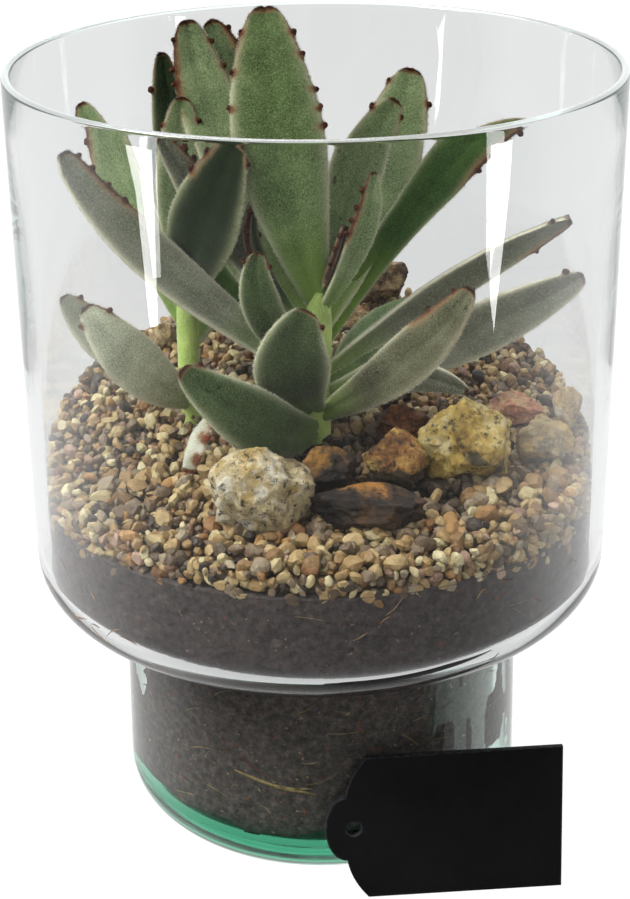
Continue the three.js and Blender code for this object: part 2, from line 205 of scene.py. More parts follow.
class Wiring:
    """A node tree under construction: short ways to add nodes and to join them."""

    def __init__(self, tree):
        self.nodes = tree.nodes
        self.links = tree.links

    def node(self, kind, **settings):
        """A new node; a setting that names a socket goes there, and any other is the node's own."""
        node = self.nodes.new(kind)
        for key, value in settings.items():
            if key in node.inputs:
                node.inputs[key].default_value = value
            else:
                setattr(node, key, value)
        return node

    def feed(self, value, socket):
        """An output is joined to the socket; a number or a colour is set on it."""
        if isinstance(value, bpy.types.NodeSocket):
            self.links.new(value, socket)
        elif isinstance(value, tuple):
            socket.default_value = (*value, 1)
        else:
            socket.default_value = value

    def step(self, value, low, high, to_low=0.0, to_high=1.0, easing="LINEAR"):
        """A value carried from one range to another and held inside it."""
        node = self.node("ShaderNodeMapRange", interpolation_type=easing)
        ends = ("From Min", "From Max", "To Min", "To Max")
        for name, end in zip(ends, (low, high, to_low, to_high)):
            self.feed(end, node.inputs[name])
        self.feed(value, node.inputs["Value"])
        return node.outputs["Result"]

    def between(self, share, under, over):
        """A number from under to over, by share."""
        node = self.node("ShaderNodeMix")
        for name, value in zip(("Factor", "A", "B"), (share, under, over)):
            self.feed(value, node.inputs[name])
        return node.outputs["Result"]


class Finish(Wiring):
    """A material under construction."""

    def __init__(self, name):
        self.material = bpy.data.materials.new(name)
        self.material.use_nodes = True
        super().__init__(self.material.node_tree)
        self.shader = self.nodes["Principled BSDF"]
        self.output = self.nodes["Material Output"]

    def place(self):
        """Object coordinates, in metres."""
        return self.node("ShaderNodeTexCoord").outputs["Object"]

    def along(self, axis):
        """How far a point lies along X, Y or Z, in metres."""
        node = self.node("ShaderNodeSeparateXYZ")
        self.feed(self.place(), node.inputs[0])
        return node.outputs[axis]

    def mark(self, name):
        """A value that the piece's points carry."""
        return self.node("ShaderNodeAttribute", attribute_name=name).outputs["Fac"]

    def noise(self, scale, detail=4.0, rough=0.6, warp=0.0):
        """Cloudy noise, of about that many clouds in a metre."""
        node = self.node("ShaderNodeTexNoise", Scale=scale, Detail=detail, Roughness=rough, Distortion=warp)
        self.feed(self.place(), node.inputs["Vector"])
        return node.outputs["Fac"]

    def cells(self, scale, output="Color"):
        """Crumbs: a colour for each cell, or the distance from its middle."""
        node = self.node("ShaderNodeTexVoronoi", Scale=scale)
        self.feed(self.place(), node.inputs["Vector"])
        return node.outputs[output]

    def ramp(self, value, stops):
        """A colour ramp over a value: stops are (place, colour)."""
        node = self.node("ShaderNodeValToRGB")
        elements = node.color_ramp.elements
        while len(elements) < len(stops):
            elements.new(0.5)
        for element, (place, colour) in zip(elements, stops):
            element.position = place
            element.color = (*colour, 1)
        self.feed(value, node.inputs["Fac"])
        return node.outputs["Color"]

    def maths(self, operation, a, b):
        """A sum, a product or the like of two values."""
        node = self.node("ShaderNodeMath", operation=operation)
        for socket, value in zip(node.inputs, (a, b)):
            self.feed(value, socket)
        return node.outputs["Value"]

    def mix(self, share, under, over, mode="MIX"):
        """One colour laid over another, by share."""
        node = self.node("ShaderNodeMix", data_type="RGBA", blend_type=mode)
        colours = [s for s in node.inputs if s.name in ("A", "B") and s.type == "RGBA"]
        for socket, value in zip([node.inputs[0], *colours], (share, under, over)):
            self.feed(value, socket)
        return next(s for s in node.outputs if s.type == "RGBA")

    def colour(self, source):
        """The surface's colour."""
        self.feed(source, self.shader.inputs["Base Color"])

    def rough(self, source):
        """The surface's roughness, as a number or an output."""
        self.feed(source, self.shader.inputs["Roughness"])

    def bump(self, height, depth, strength=1.0):
        """Relief of that depth in metres; a second call adds to the first."""
        node = self.node("ShaderNodeBump", Strength=strength, Distance=depth)
        self.feed(height, node.inputs["Height"])
        normal = self.shader.inputs["Normal"]
        if normal.is_linked:
            self.feed(normal.links[0].from_socket, node.inputs["Normal"])
        self.feed(node.outputs["Normal"], normal)

    def set(self, **values):
        """Values of the shader's own sockets."""
        for key, value in values.items():
            self.shader.inputs[key.replace("_", " ")].default_value = value

    def surface(self, share, under, over):
        """The surface as one shader and, by share, another."""
        node = self.node("ShaderNodeMixShader")
        for socket, value in zip(node.inputs, (share, under, over)):
            self.feed(value, socket)
        self.feed(node.outputs[0], self.output.inputs["Surface"])


def shade(red, green, blue):
    """An sRGB colour, 0 to 255, as the linear colour that a shader takes."""
    return tuple(
        ((level / 255 + 0.055) / 1.055) ** 2.4 if level > 10 else level / 255 / 12.92
        for level in (red, green, blue)
    )


# The glass's colour from the jar's foot to just above its shoulder: green in the base, then ever clearer
GLASS_TINTS = [
    (0.0, (0.07, 0.46, 0.25)),
    (0.19, (0.11, 0.5, 0.3)),
    (0.26, (0.68, 0.85, 0.78)),
    (0.8, (0.76, 0.87, 0.82)),
    (0.93, (0.96, 0.97, 0.97)),
]
TINTED_HEIGHT = SHOULDER_HEIGHT * 1.1


def jar_glass(name, painted_glow=0.0):
    """Clear recycled glass, green where the base is thick; lamps pass through it to what stands inside.

    painted_glow is painted light: it makes the rim glow, standing in for the light that the wall carries up
    inside itself and lets out at its rim.
    """
    f = Finish(name)
    f.set(Roughness=0.0, IOR=1.5, Transmission_Weight=1.0)
    # Painted light: an emission that makes the rim glow.
    f.set(Emission_Color=(0.93, 0.95, 0.95, 1), Emission_Strength=painted_glow)
    f.material.cycles.emission_sampling = "NONE"
    f.colour(f.ramp(f.step(f.along("Z"), 0.0, TINTED_HEIGHT * MM), GLASS_TINTS))
    f.bump(f.noise(14, 2, 0.5), 0.0006, 0.35)
    path = f.node("ShaderNodeLightPath")
    clear = f.node("ShaderNodeBsdfTransparent", Color=(0.94, 0.96, 0.95, 1))
    f.surface(path.outputs["Is Shadow Ray"], f.shader.outputs["BSDF"], clear.outputs["BSDF"])
    depth = f.node("ShaderNodeVolumeAbsorption", Color=(0.35, 0.6, 0.55, 1), Density=1.5)
    f.feed(depth.outputs[0], f.output.inputs["Volume"])
    return f.material


def soil_finish():
    """Damp potting soil: dark brown crumbs with pale and red specks, with painted shade that makes it darker
    above the shoulder.
    """
    f = Finish("potting_soil")
    crumbs = f.ramp(f.cells(480), [(0.1, (0.62, 0.6, 0.59)), (0.9, (1, 1, 1))])
    browns = [(0.34, shade(62, 52, 48)), (0.52, shade(108, 94, 89)), (0.7, shade(150, 132, 124))]
    tone = f.mix(0.7, f.ramp(f.noise(420, 6, 0.8), browns), crumbs, "MULTIPLY")
    tone = f.mix(f.step(f.noise(520, 2, 0.5), 0.69, 0.73), tone, shade(186, 158, 130))
    tone = f.mix(f.step(f.noise(410, 2, 0.5, 0.4), 0.67, 0.72), tone, shade(150, 88, 66))
    # Painted shade: the soil above the shoulder is multiplied much darker, and the soil in the foot a little
    # darker and bluer.
    upper = f.step(f.along("Z"), SHOULDER_HEIGHT * MM - 0.004, SHOULDER_HEIGHT * MM)
    depth = f.ramp(upper, [(0.0, (0.76, 0.73, 0.78)), (1.0, (0.39, 0.4, 0.42))])
    f.colour(f.mix(1.0, tone, depth, "MULTIPLY"))
    f.rough(0.8)
    f.bump(f.cells(330, "Distance"), 0.0006, 0.5)
    f.bump(f.noise(800, 3, 0.6), 0.0003, 0.4)
    return f.material


def fibre_finish(name, pale, dark):
    """Dry root fibre, in streaks of two tones."""
    f = Finish(name)
    f.colour(f.ramp(f.noise(500, 4, 0.6), [(0.35, dark), (0.65, pale)]))
    f.rough(0.8)
    f.bump(f.noise(2500, 3, 0.6), 0.0003, 0.5)
    return f.material


def grain_finish(name, pale, middle, dark):
    """Small river gravel: each grain draws its own tint, with mottling and fine pits."""
    f = Finish(name)
    tint = f.ramp(f.mark("tint"), [(0.0, dark), (0.45, middle), (1.0, pale)])
    mottle = f.ramp(f.noise(700, 5, 0.65), [(0.3, (0.42, 0.4, 0.38)), (0.7, (1.0, 1.0, 1.0))])
    f.colour(f.mix(0.6, tint, mottle, "MULTIPLY"))
    f.rough(f.step(f.noise(500, 3, 0.6), 0.3, 0.7, 0.42, 0.75))
    f.bump(f.noise(1900, 4, 0.6), 0.0003, 0.7)
    return f.material


def rock_finish(name, tones, pit, pit_share, patch, rough):
    """Rough quarried rock: three tones in clouds, crumbs, dark pits, and patches of a fourth tone.

    pit is the colour of the pits and pit_share how much of it shows. patch holds its colour, the scale
    of its noise, where it starts and is whole, and how much the rock's lean (a mark on its points) adds
    to the noise.
    """
    f = Finish(name)
    body = f.ramp(f.noise(85, 9, 0.75), [(0.38, tones[0]), (0.5, tones[1]), (0.6, tones[2])])
    crumbs = f.ramp(f.cells(420), [(0.1, (0.55, 0.53, 0.5)), (0.9, (1, 1, 1))])
    tone = f.mix(0.8, body, crumbs, "MULTIPLY")
    if patch:
        colour, scale, low, high, lean = patch
        leaning = f.maths("MULTIPLY", f.mark("lean"), lean)
        share = f.step(f.maths("ADD", f.noise(scale, 8, 0.7), leaning), low, high)
        tone = f.mix(f.maths("MULTIPLY", share, 0.85), tone, colour)
    pits = f.step(f.noise(420, 7, 0.8), 0.47, 0.4)
    f.colour(f.mix(f.maths("MULTIPLY", pits, pit_share), tone, pit))
    f.rough(f.step(f.noise(300, 4, 0.6), 0.3, 0.7, rough - 0.25, rough + 0.1))
    f.bump(f.noise(260, 8, 0.8), 0.0018, 0.9)
    return f.material


def felt_finish(name, deep, middle, pale, margin, tooth):
    """Felted leaf skin: green under short pale hairs, with a pale edge (thicker felt, and painted sheen) and
    brown teeth.

    It is yellower towards the root, and a mark on the points makes each leaf lighter or darker: partly its
    own green, partly painted shade and light for how it lies to the lamps.
    """
    f = Finish(name)
    skin = f.ramp(f.noise(85, 4, 0.6, 0.3), [(0.3, deep), (0.52, middle), (0.8, pale)])
    hairs = f.ramp(f.noise(2300, 2, 0.6), [(0.36, deep), (0.5, middle), (0.66, pale)])
    skin = f.mix(0.55, skin, hairs)
    dusty = f.step(f.noise(45, 2, 0.5), 0.5, 0.62)
    specks = f.maths("MULTIPLY", f.step(f.noise(620, 2, 0.5), 0.63, 0.7), dusty)
    skin = f.mix(f.maths("MULTIPLY", specks, 0.75), skin, shade(38, 32, 22))
    # The tone: partly each leaf's own lighter or darker green, partly painted shade and light.
    skin = f.mix(1.0, skin, f.mark("tone"), "MULTIPLY")
    skin = f.mix(f.maths("MULTIPLY", f.mark("root"), 0.75), skin, shade(122, 152, 54))
    # The pale edge: partly thicker felt, partly painted sheen.
    rim = f.maths("MULTIPLY", f.mark("margin"), f.step(f.noise(800, 4, 0.6), 0.2, 0.5, 0.45, 1.0))
    skin = f.mix(f.maths("MULTIPLY", rim, 0.85), skin, margin)
    brown = f.maths("MULTIPLY", f.mark("brown"), f.step(f.noise(700, 4, 0.6), 0.3, 0.55, 0.55, 1.0))
    halo = f.ramp(brown, [(0.1, shade(144, 116, 84)), (0.5, shade(102, 68, 46)), (0.85, tooth)])
    skin = f.mix(f.step(brown, 0.03, 0.35), skin, halo)
    f.colour(skin)
    f.rough(0.88)
    f.set(Sheen_Weight=0.2, Sheen_Roughness=0.5, Sheen_Tint=(0.9, 0.95, 0.84, 1), Specular_IOR_Level=0.15)
    f.bump(f.noise(1000, 4, 0.7), 0.0004, 0.5)
    f.bump(f.noise(200, 3, 0.6), 0.0006, 0.4)
    return f.material


def hair_finish(name, colour, tip):
    """Felt hairs: pale, paler at the margin (thicker felt, and painted sheen), and rust-brown where they
    stand on a tooth.
    """
    f = Finish(name)
    # Paler at the margin: partly thicker felt, partly painted sheen.
    hair = f.ramp(f.mark("edge"), [(0.2, colour), (0.9, shade(214, 210, 188))])
    f.colour(f.mix(f.mark("brown"), hair, tip))
    f.rough(0.8)
    f.set(Specular_IOR_Level=0.1)
    return f.material


def tooth_finish(name, dark, rust):
    """Tufts of brown hair at a leaf's teeth, redder in patches."""
    f = Finish(name)
    f.colour(f.ramp(f.noise(900, 4, 0.65), [(0.4, dark), (0.6, rust), (0.8, shade(140, 84, 54))]))
    f.rough(0.9)
    f.set(Specular_IOR_Level=0.15)
    f.bump(f.noise(2200, 3, 0.7), 0.0003, 0.8)
    return f.material


def stem_finish():
    """Fresh green stem under thin pale fuzz."""
    f = Finish("stem_skin")
    tone = f.ramp(f.noise(90, 4, 0.6), [(0.3, shade(124, 150, 58)), (0.7, shade(186, 208, 102))])
    fuzz = f.step(f.noise(2000, 3, 0.6), 0.45, 0.7)
    f.colour(f.mix(f.maths("MULTIPLY", fuzz, 0.4), tone, shade(214, 216, 190)))
    f.rough(0.8)
    f.set(Sheen_Weight=0.3)
    f.bump(f.noise(1200, 4, 0.6), 0.0005, 0.6)
    return f.material


def board_finish():
    """Black painted card with a fine tooth, and edges lighter from wear and from a painted sheen."""
    f = Finish("black_board")
    tone = f.ramp(f.noise(35, 6, 0.6), [(0.35, shade(16, 17, 19)), (0.7, shade(26, 26, 29))])
    # Lighter edges: wear, and a painted sheen.
    wear_and_sheen = f.maths("MULTIPLY", f.mark("edge"), f.step(f.noise(600), 0.35, 0.65))
    f.colour(f.mix(wear_and_sheen, tone, shade(66, 66, 70)))
    f.rough(f.step(f.noise(220, 5, 0.6), 0.3, 0.7, 0.55, 0.7))
    f.set(Specular_IOR_Level=0.3)
    f.bump(f.noise(1100, 4, 0.6), 0.00012, 0.6)
    return f.material


# ---- The jar: a profile turned about Z ------------------------------------------------------------


def arc(centre_radius, centre_height, radius, start, end, steps):
    """Points (radius, height) of an arc, angles in degrees."""
    angle = np.radians(np.linspace(start, end, steps + 1))
    return np.stack([centre_radius + radius * np.cos(angle), centre_height + radius * np.sin(angle)], -1)


def line(start, end, steps):
    """Points on a straight stretch, without its ends."""
    return np.linspace(start, end, steps + 1)[1:-1]


def inner_profile(clearance):
    """The jar's inner surface from its floor to the shoulder's top, moved inwards by clearance.

    Its bends are three arcs: the floor's corner, the neck, and the corner of the wide cylinder.
    """
    foot_inside = FOOT_TOP_RADIUS - FOOT_WALL
    shoulder_floor = SHOULDER_HEIGHT + SHOULDER_THICKNESS
    corner = SHOULDER_CORNER - WALL
    return (
        arc(foot_inside - FLOOR_CORNER, BASE_THICKNESS + FLOOR_CORNER, FLOOR_CORNER - clearance, -90, 0, 10),
        arc(foot_inside + NECK_ROUND, shoulder_floor - NECK_ROUND, NECK_ROUND + clearance, 180, 90, 8),
        arc(JAR_INSIDE - corner, shoulder_floor + corner, corner - clearance, -90, 0, 14),
    )


def turned(profile, columns):
    """Rings (rows, columns, 3): each profile point (radius, height) carried round Z."""
    turn = np.linspace(0, 2 * math.pi, columns, endpoint=False)
    return round_axis(profile[:, :1], turn, profile[:, 1:])


RIM_WALL = 2.6  # the wall's thickness at the rim
RIM_TAPER = 110.0  # how far below the rim the wall starts to get thinner
RIM_PAINTED_GLOW, RIM_CREST = 0.5, 0.8  # the painted glow of the rim, and how far down from the top it reaches
JAR_COLUMNS = 224
JAR_POLE = 2.0  # the section starts this far from the axis, where a point closes it


def build_jar():
    """The closed section of the wall, from the middle of the base out, up, over the rim and back down."""
    rim = RIM_WALL / 2
    outside = [
        arc(FOOT_RADIUS - FOOT_CORNER, FOOT_CORNER, FOOT_CORNER, -90, 0, 16),
        arc(FOOT_TOP_RADIUS + NECK_ROUND, SHOULDER_HEIGHT - NECK_ROUND, NECK_ROUND, 180, 90, 8),
        arc(JAR_RADIUS - SHOULDER_CORNER, SHOULDER_HEIGHT + SHOULDER_CORNER, SHOULDER_CORNER, -90, 0, 16),
        arc(JAR_RADIUS - rim, JAR_HEIGHT - rim, rim, 0, 180, 12),
    ]
    share = np.linspace(0, 1, 12)
    thinning = (WALL - RIM_WALL) * share**2 * (3 - 2 * share)
    taper = np.stack([JAR_INSIDE + thinning, JAR_HEIGHT - rim - RIM_TAPER * (1 - share)], -1)[-2::-1]
    inside = [taper, *(stretch[::-1] for stretch in inner_profile(0)[::-1])]
    bends = outside + inside
    under, upon = (JAR_POLE, 0.0), (JAR_POLE, BASE_THICKNESS)
    profile = [[under], line(under, bends[0][0], 8)]
    for bend, after in zip(bends, bends[1:]):
        profile += [bend, line(bend[-1], after[0], 10)]
    profile += [bends[-1], line(bends[-1][-1], upon, 8), [upon]]
    profile = np.concatenate(profile)
    points, faces = capped_tube(turned(profile, JAR_COLUMNS))
    crest = profile[:, 1] > JAR_HEIGHT - RIM_CREST
    on_rim = np.repeat(crest[:-1] & crest[1:], JAR_COLUMNS)
    on_rim = np.concatenate([on_rim, np.zeros(2 * JAR_COLUMNS, bool)])
    # The top of the rim wears a second glass finish that glows: painted light.
    add_piece("blown_jar", points, faces, jar_glass("jar_glass"), ["glass_jar"],
              accent=(jar_glass("rim_glass_painted_glow", RIM_PAINTED_GLOW), on_rim))


# ---- Soil -----------------------------------------------------------------------------------------

# Where the soil is damp it wets the glass, and its face is pressed a little way into it. In the foot's
# front it does so all over, beyond that in patches, and on the floor of the shoulder all along.
SOIL_PRESS = 0.12
WET_FROM, WET_TO = math.radians(-152), math.radians(-55)
DAMP_FROM, DAMP_TO = math.radians(-178), math.radians(0)
SOIL_COLUMNS = 460
SOIL_POLE = 3.0  # the soil's outline starts this far from the axis, where a point closes it
SOIL_HEART = np.array([0, 0, 75.0])  # pits are sunk towards this point


def soil_line(turn):
    """Height of the top of the soil against the glass, which wanders up and down round the jar."""
    rise = 2.2 * np.exp(-(((turn + math.pi / 2 + 0.25) / 0.35) ** 2))
    return SOIL_HEIGHT - 0.5 + rise - 0.45 * np.cos(turn * 2)


def soil_profile(clearance):
    """The soil's outline as (radius, height), from the middle of its floor to the middle of its top."""
    floor_arc, neck_arc, shoulder_arc = inner_profile(clearance)
    top = np.array([JAR_INSIDE - clearance, SOIL_HEIGHT])
    return np.concatenate(
        [
            np.linspace((SOIL_POLE, floor_arc[0][1]), floor_arc[0], 14)[:-1],
            floor_arc,
            line(floor_arc[-1], neck_arc[0], 84),
            neck_arc,
            line(neck_arc[-1], shoulder_arc[0], 10),
            shoulder_arc,
            line(shoulder_arc[-1], top, 30),
            [top],
            line(top, (SOIL_POLE, SOIL_HEIGHT), 6),
            [[SOIL_POLE, SOIL_HEIGHT]],
        ]
    )


def build_soil():
    """The inner profile turned about Z, each point drawn inwards by pits and crumbs of three sizes.

    Where the soil wets the glass, the points of the pressed profile take their place.
    """
    rings = turned(soil_profile(GAP), SOIL_COLUMNS)
    pressed_rings = turned(soil_profile(-SOIL_PRESS), SOIL_COLUMNS)
    large, middling = np.maximum(cloud(rings, 4.2, 1) - 0.1, 0), np.maximum(cloud(rings, 2.1, 2) - 0.15, 0)
    pit = 0.4 * large + 0.7 * middling + 0.25 * np.abs(cloud(rings, 1.2, 3))
    x, y, z = np.moveaxis(rings, -1, 0)
    turn = np.arctan2(y, x) + 0.08 * cloud(rings, 12.0, 4) + 0.06 * cloud(rings, 3.0, 9)
    height = z + 2.5 * cloud(rings, 8.0, 6)
    foot = (height > FLOOR_CORNER + BASE_THICKNESS) & (height < SHOULDER_HEIGHT - 3)
    shoulder = (z > SHOULDER_HEIGHT + 2) & (z < SHOULDER_HEIGHT + SHOULDER_THICKNESS + 2)
    damp = (turn > DAMP_FROM) & (turn < DAMP_TO)
    patches = foot & damp & (cloud(rings * [1, 1, 0.3], 6.0, 14) > 0)
    wet = (foot & (turn > WET_FROM) & (turn < WET_TO)) | patches | (shoulder & damp)
    pit[z > SOIL_HEIGHT - 0.01] = 0
    pitted_rings = rings + unit(SOIL_HEART - rings) * pit[..., None]
    points, faces = capped_tube(np.where(wet[..., None], pressed_rings, pitted_rings))
    add_piece("soil_body", points, faces, soil_finish(), ["soil"])


def wall_radius(height):
    """Radius of the inner surface of the glass at a height, from the joined stretches of its profile."""
    profile = np.concatenate(inner_profile(0))
    return np.interp(height, profile[:, 1], profile[:, 0])


def tube(path, radius, columns):
    """A tube along a path of points, its radius given for each point, closed at both ends."""
    along = unit(np.gradient(path, axis=0))
    side = unit(np.cross(along, np.array([0.31, 0.17, 0.93])))
    up = np.cross(side, along)
    turn = np.linspace(0, 2 * math.pi, columns, endpoint=False)
    ring = side[:, None] * np.cos(turn)[None, :, None] + up[:, None] * np.sin(turn)[None, :, None]
    return capped_tube(path[:, None] + ring * np.asarray(radius).reshape(-1, 1, 1))


FIBRES, RED_EVERY = 260, 3  # how many, and one in how many is red
FIBRE_HEIGHTS, FIBRE_LENGTHS, FIBRE_RADII = (18, 116), (2.5, 11), (0.08, 0.22)
FIBRE_LEAN, FIBRE_BEND = 0.8, 4  # the most that one is tilted, in radians, and bent
FIBRE_DEPTHS, TWIG_DEPTH = (0.1, 0.3), -0.2  # past the inner surface of the glass, and short of it
# Each twig: its turn in degrees, height, length, how far it falls along that, and thickness
TWIGS = ((-104.5, 34.5, 29, 6.0, 0.85), (-98.5, 34.2, 15, 0.5, 0.5), (-94, 44, 10, -1, 0.4))


def build_fibres(draw):
    """Root fibres and a few twigs in the soil: slightly bent tubes that lie against the glass."""
    groups = {"pale_fibres": [], "red_fibres": []}
    t = np.linspace(-0.5, 0.5, 9)
    for index in range(FIBRES):
        height = draw.uniform(*FIBRE_HEIGHTS)
        turn = draw.uniform(-math.pi, math.pi)
        long, lean = draw.uniform(*FIBRE_LENGTHS), draw.uniform(-FIBRE_LEAN, FIBRE_LEAN)
        heights = height + long * t * math.sin(lean) + draw.uniform(-1, 1) * FIBRE_BEND * t**2
        radius = wall_radius(heights) + draw.uniform(*FIBRE_DEPTHS)
        path = round_axis(radius, turn + long * t * math.cos(lean) / radius, heights)
        thick = draw.uniform(*FIBRE_RADII) * np.sqrt(1.05 - (2 * t) ** 2)
        groups["pale_fibres" if index % RED_EVERY else "red_fibres"].append(tube(path, thick, 5))
    radius = FOOT_TOP_RADIUS - FOOT_WALL + TWIG_DEPTH
    t = np.linspace(-0.5, 0.5, 24)
    for turn, height, long, fall, thick in TWIGS:
        heights = height - fall * t + 1.2 * np.sin(5 * t) * t
        path = round_axis(radius, math.radians(turn) + long * t / radius, heights)
        groups["pale_fibres"].append(tube(path, thick * np.sqrt(1.02 - (2 * t) ** 2), 8))
    finishes = {
        "pale_fibres": fibre_finish("pale_fibre", shade(176, 148, 104), shade(110, 84, 54)),
        "red_fibres": fibre_finish("red_fibre", shade(142, 88, 62), shade(84, 48, 34)),
    }
    for name, tubes in groups.items():
        points, faces = joined(tubes)
        add_piece(name, points, faces, finishes[name])


# ---- Gravel ---------------------------------------------------------------------------------------

BED_SHORT = 3.2  # the bed stops this far short of the glass, where only grains are seen
BED_DEPTH = 3.4  # and lies this far under the gravel's height
BED_ROWS, BED_COLUMNS = 41, 120  # rings on its upper side, and points in each
GRAIN_STEP = 3.35  # between the grains in the middle
ROW_SHARE = 0.866  # a honeycomb's rows are this share of a step apart
GRAIN_JITTER, GRAIN_SHORT = 1.3, 2.6  # off their spots, and how far from the glass they end
GRAIN_LAYERS = ((-1.9, 1.0), (0.2, 0.72))  # height over the gravel's, and share of the spots filled
WALL_COLUMNS, WALL_ROWS, WALL_STEP = 190, 16, 2.25  # the rows of grains against the glass
WALL_SHORT, WALL_LIFT = 1.6, 0.9  # how far from it they stand, and above the soil's line
SUNK_GRAINS, SUNK_MEAN, SUNK_MOST = 170, 1.5, 7  # how many, and how deep
FRONT_GRAINS = 190
FRONT_FROM, FRONT_TO = math.radians(-150), math.radians(-25)
FRONT_LIFTS = (0.6, 1.6)
GRAIN_SIZES, FRONT_GRAIN_SIZES = (1.25, 2.4), (2.2, 3.4)  # radii
GRAIN_SHAPES = 14
CHIPS, CHIP_REACHES = 9, (0.5, 0.86)  # planes that cut each grain, and how far from its middle
DEBRIS_AND_SHADE_MIDDLE, DEBRIS_AND_SHADE_RADII = (16, -34), (34, 26)  # where dark grains lie between the front rocks, as dark debris and as painted shade in the gaps
DEBRIS_AND_SHADE_SHARE = 0.85


def gravel_height(x, y):
    """A slope that rises to the back, with a low mound behind the plant."""
    mound = 5 * np.exp(-((x - 10) ** 2 + (y - 62) ** 2) / 1400)
    return GRAVEL_MIDDLE_HEIGHT + GRAVEL_SLOPE * y + mound


def build_gravel_bed():
    """The bed under the grains: a disc that follows the gravel's height, closed by the soil's top."""
    edge = JAR_INSIDE - GAP - BED_SHORT
    radii = np.concatenate([np.linspace(2, edge, BED_ROWS - 1), [edge], np.linspace(edge, 2, 8)])
    turn = np.linspace(0, 2 * math.pi, BED_COLUMNS, endpoint=False)
    x, y = radii[:, None] * np.cos(turn), radii[:, None] * np.sin(turn)
    z = gravel_height(x, y) - BED_DEPTH + 0.8 * cloud(np.stack([x, y, x * 0], -1), 5.0, 7)
    z[BED_ROWS:] = SOIL_HEIGHT + GAP
    points, faces = capped_tube(np.stack([x, y, z], -1)[::-1])
    finish = grain_finish("gravel_shadow", shade(120, 98, 70), shade(96, 76, 52), shade(52, 40, 28))
    marks = {"tint": np.full(len(points), 0.4)}
    add_piece("gravel_under", points, faces, finish, ["gravel_bed"], marks)


def chipped_ball(draw):
    """A ball of 42 points and 80 faces, cut back by some planes, as a broken pebble is."""
    golden = (1 + 5**0.5) / 2
    corners = np.array([(0, a, b * golden) for a in (-1, 1) for b in (-1, 1)], float)
    corners = unit(np.concatenate([np.roll(corners, k, axis=1) for k in range(3)]))
    near = np.linalg.norm(corners[:, None] - corners[None], axis=-1) < 1.1
    faces = [
        (a, b, c)
        for a in range(12)
        for b in range(a + 1, 12)
        for c in range(b + 1, 12)
        if near[a, b] and near[b, c] and near[a, c]
    ]
    points, middle = list(corners), {}

    def halfway(a, b):
        """The number of the point between two others, made when it is first asked for."""
        key = (min(a, b), max(a, b))
        if key not in middle:
            middle[key] = len(points)
            points.append(unit(points[a] + points[b]))
        return middle[key]

    split = []
    for a, b, c in faces:
        if np.dot(np.cross(points[b] - points[a], points[c] - points[a]), points[a]) < 0:
            b, c = c, b
        ab, bc, ca = halfway(a, b), halfway(b, c), halfway(c, a)
        split += [(a, ab, ca), (ab, b, bc), (ca, bc, c), (ab, bc, ca)]
    ball = np.array(points)
    normals = unit(draw.normal(size=(CHIPS, 3)))
    reach = cut_reach(ball, normals, draw.uniform(*CHIP_REACHES, CHIPS)).min(1)
    return ball * np.minimum(reach, 1.0)[:, None], np.array(split)


def turned_at_random(draw, count):
    """Rotation matrices, drawn from random unit quaternions."""
    w, x, y, z = unit(draw.normal(size=(count, 4))).T
    return np.stack(
        [
            np.stack([1 - 2 * (y * y + z * z), 2 * (x * y - z * w), 2 * (x * z + y * w)], -1),
            np.stack([2 * (x * y + z * w), 1 - 2 * (x * x + z * z), 2 * (y * z - x * w)], -1),
            np.stack([2 * (x * z - y * w), 2 * (y * z + x * w), 1 - 2 * (x * x + y * y)], -1),
        ],
        1,
    )


def scattered(name, places, sizes, shapes, draw, finish):
    """Many grains as one piece: each place gets one of the shapes, turned at random and stretched.

    What would reach into the glass is drawn back to it.
    """
    count = len(places)
    chosen = draw.integers(0, len(shapes), count)
    balls = np.array([shape[0] for shape in shapes])[chosen]
    stretch = draw.uniform(0.66, 1.46, (count, 1, 3))
    points = np.einsum("nij,npj->npi", turned_at_random(draw, count), balls * stretch)
    points = points * sizes[:, None, None] + places[:, None]
    over = np.linalg.norm(points[..., :2], axis=-1) / (JAR_INSIDE - GAP - 0.05)
    points[..., :2] /= np.maximum(over, 1)[..., None]
    corners = points.shape[1]
    faces = shapes[0][1][None] + (np.arange(count) * corners)[:, None, None]
    marks = {"tint": np.repeat(draw.uniform(0, 1, count), corners)}
    add_piece(name, points.reshape(-1, 3), [faces.reshape(-1, 3)], finish, marks=marks, flat=True)


# Each colour's pale, middle and dark tone, its share of all grains, and of the larger ones in front
GRAVEL_TONES = {
    "gravel_tan": (shade(186, 160, 112), shade(160, 130, 84), shade(130, 98, 58)),
    "gravel_cream": (shade(212, 198, 158), shade(190, 172, 126), shade(160, 138, 94)),
    "gravel_grey": (shade(158, 142, 116), shade(128, 108, 84), shade(96, 76, 54)),
    "gravel_ochre": (shade(174, 132, 78), shade(144, 100, 54), shade(106, 68, 38)),
    "gravel_pink": (shade(180, 148, 126), shade(154, 120, 98), shade(122, 90, 70)),
    "gravel_dark": (shade(96, 78, 58), shade(68, 54, 40), shade(42, 33, 26)),
}
GRAVEL_SHARES = (0.37, 0.17, 0.2, 0.08, 0.06, 0.12)
FRONT_SHARES = (0.5, 0.14, 0.27, 0.09)


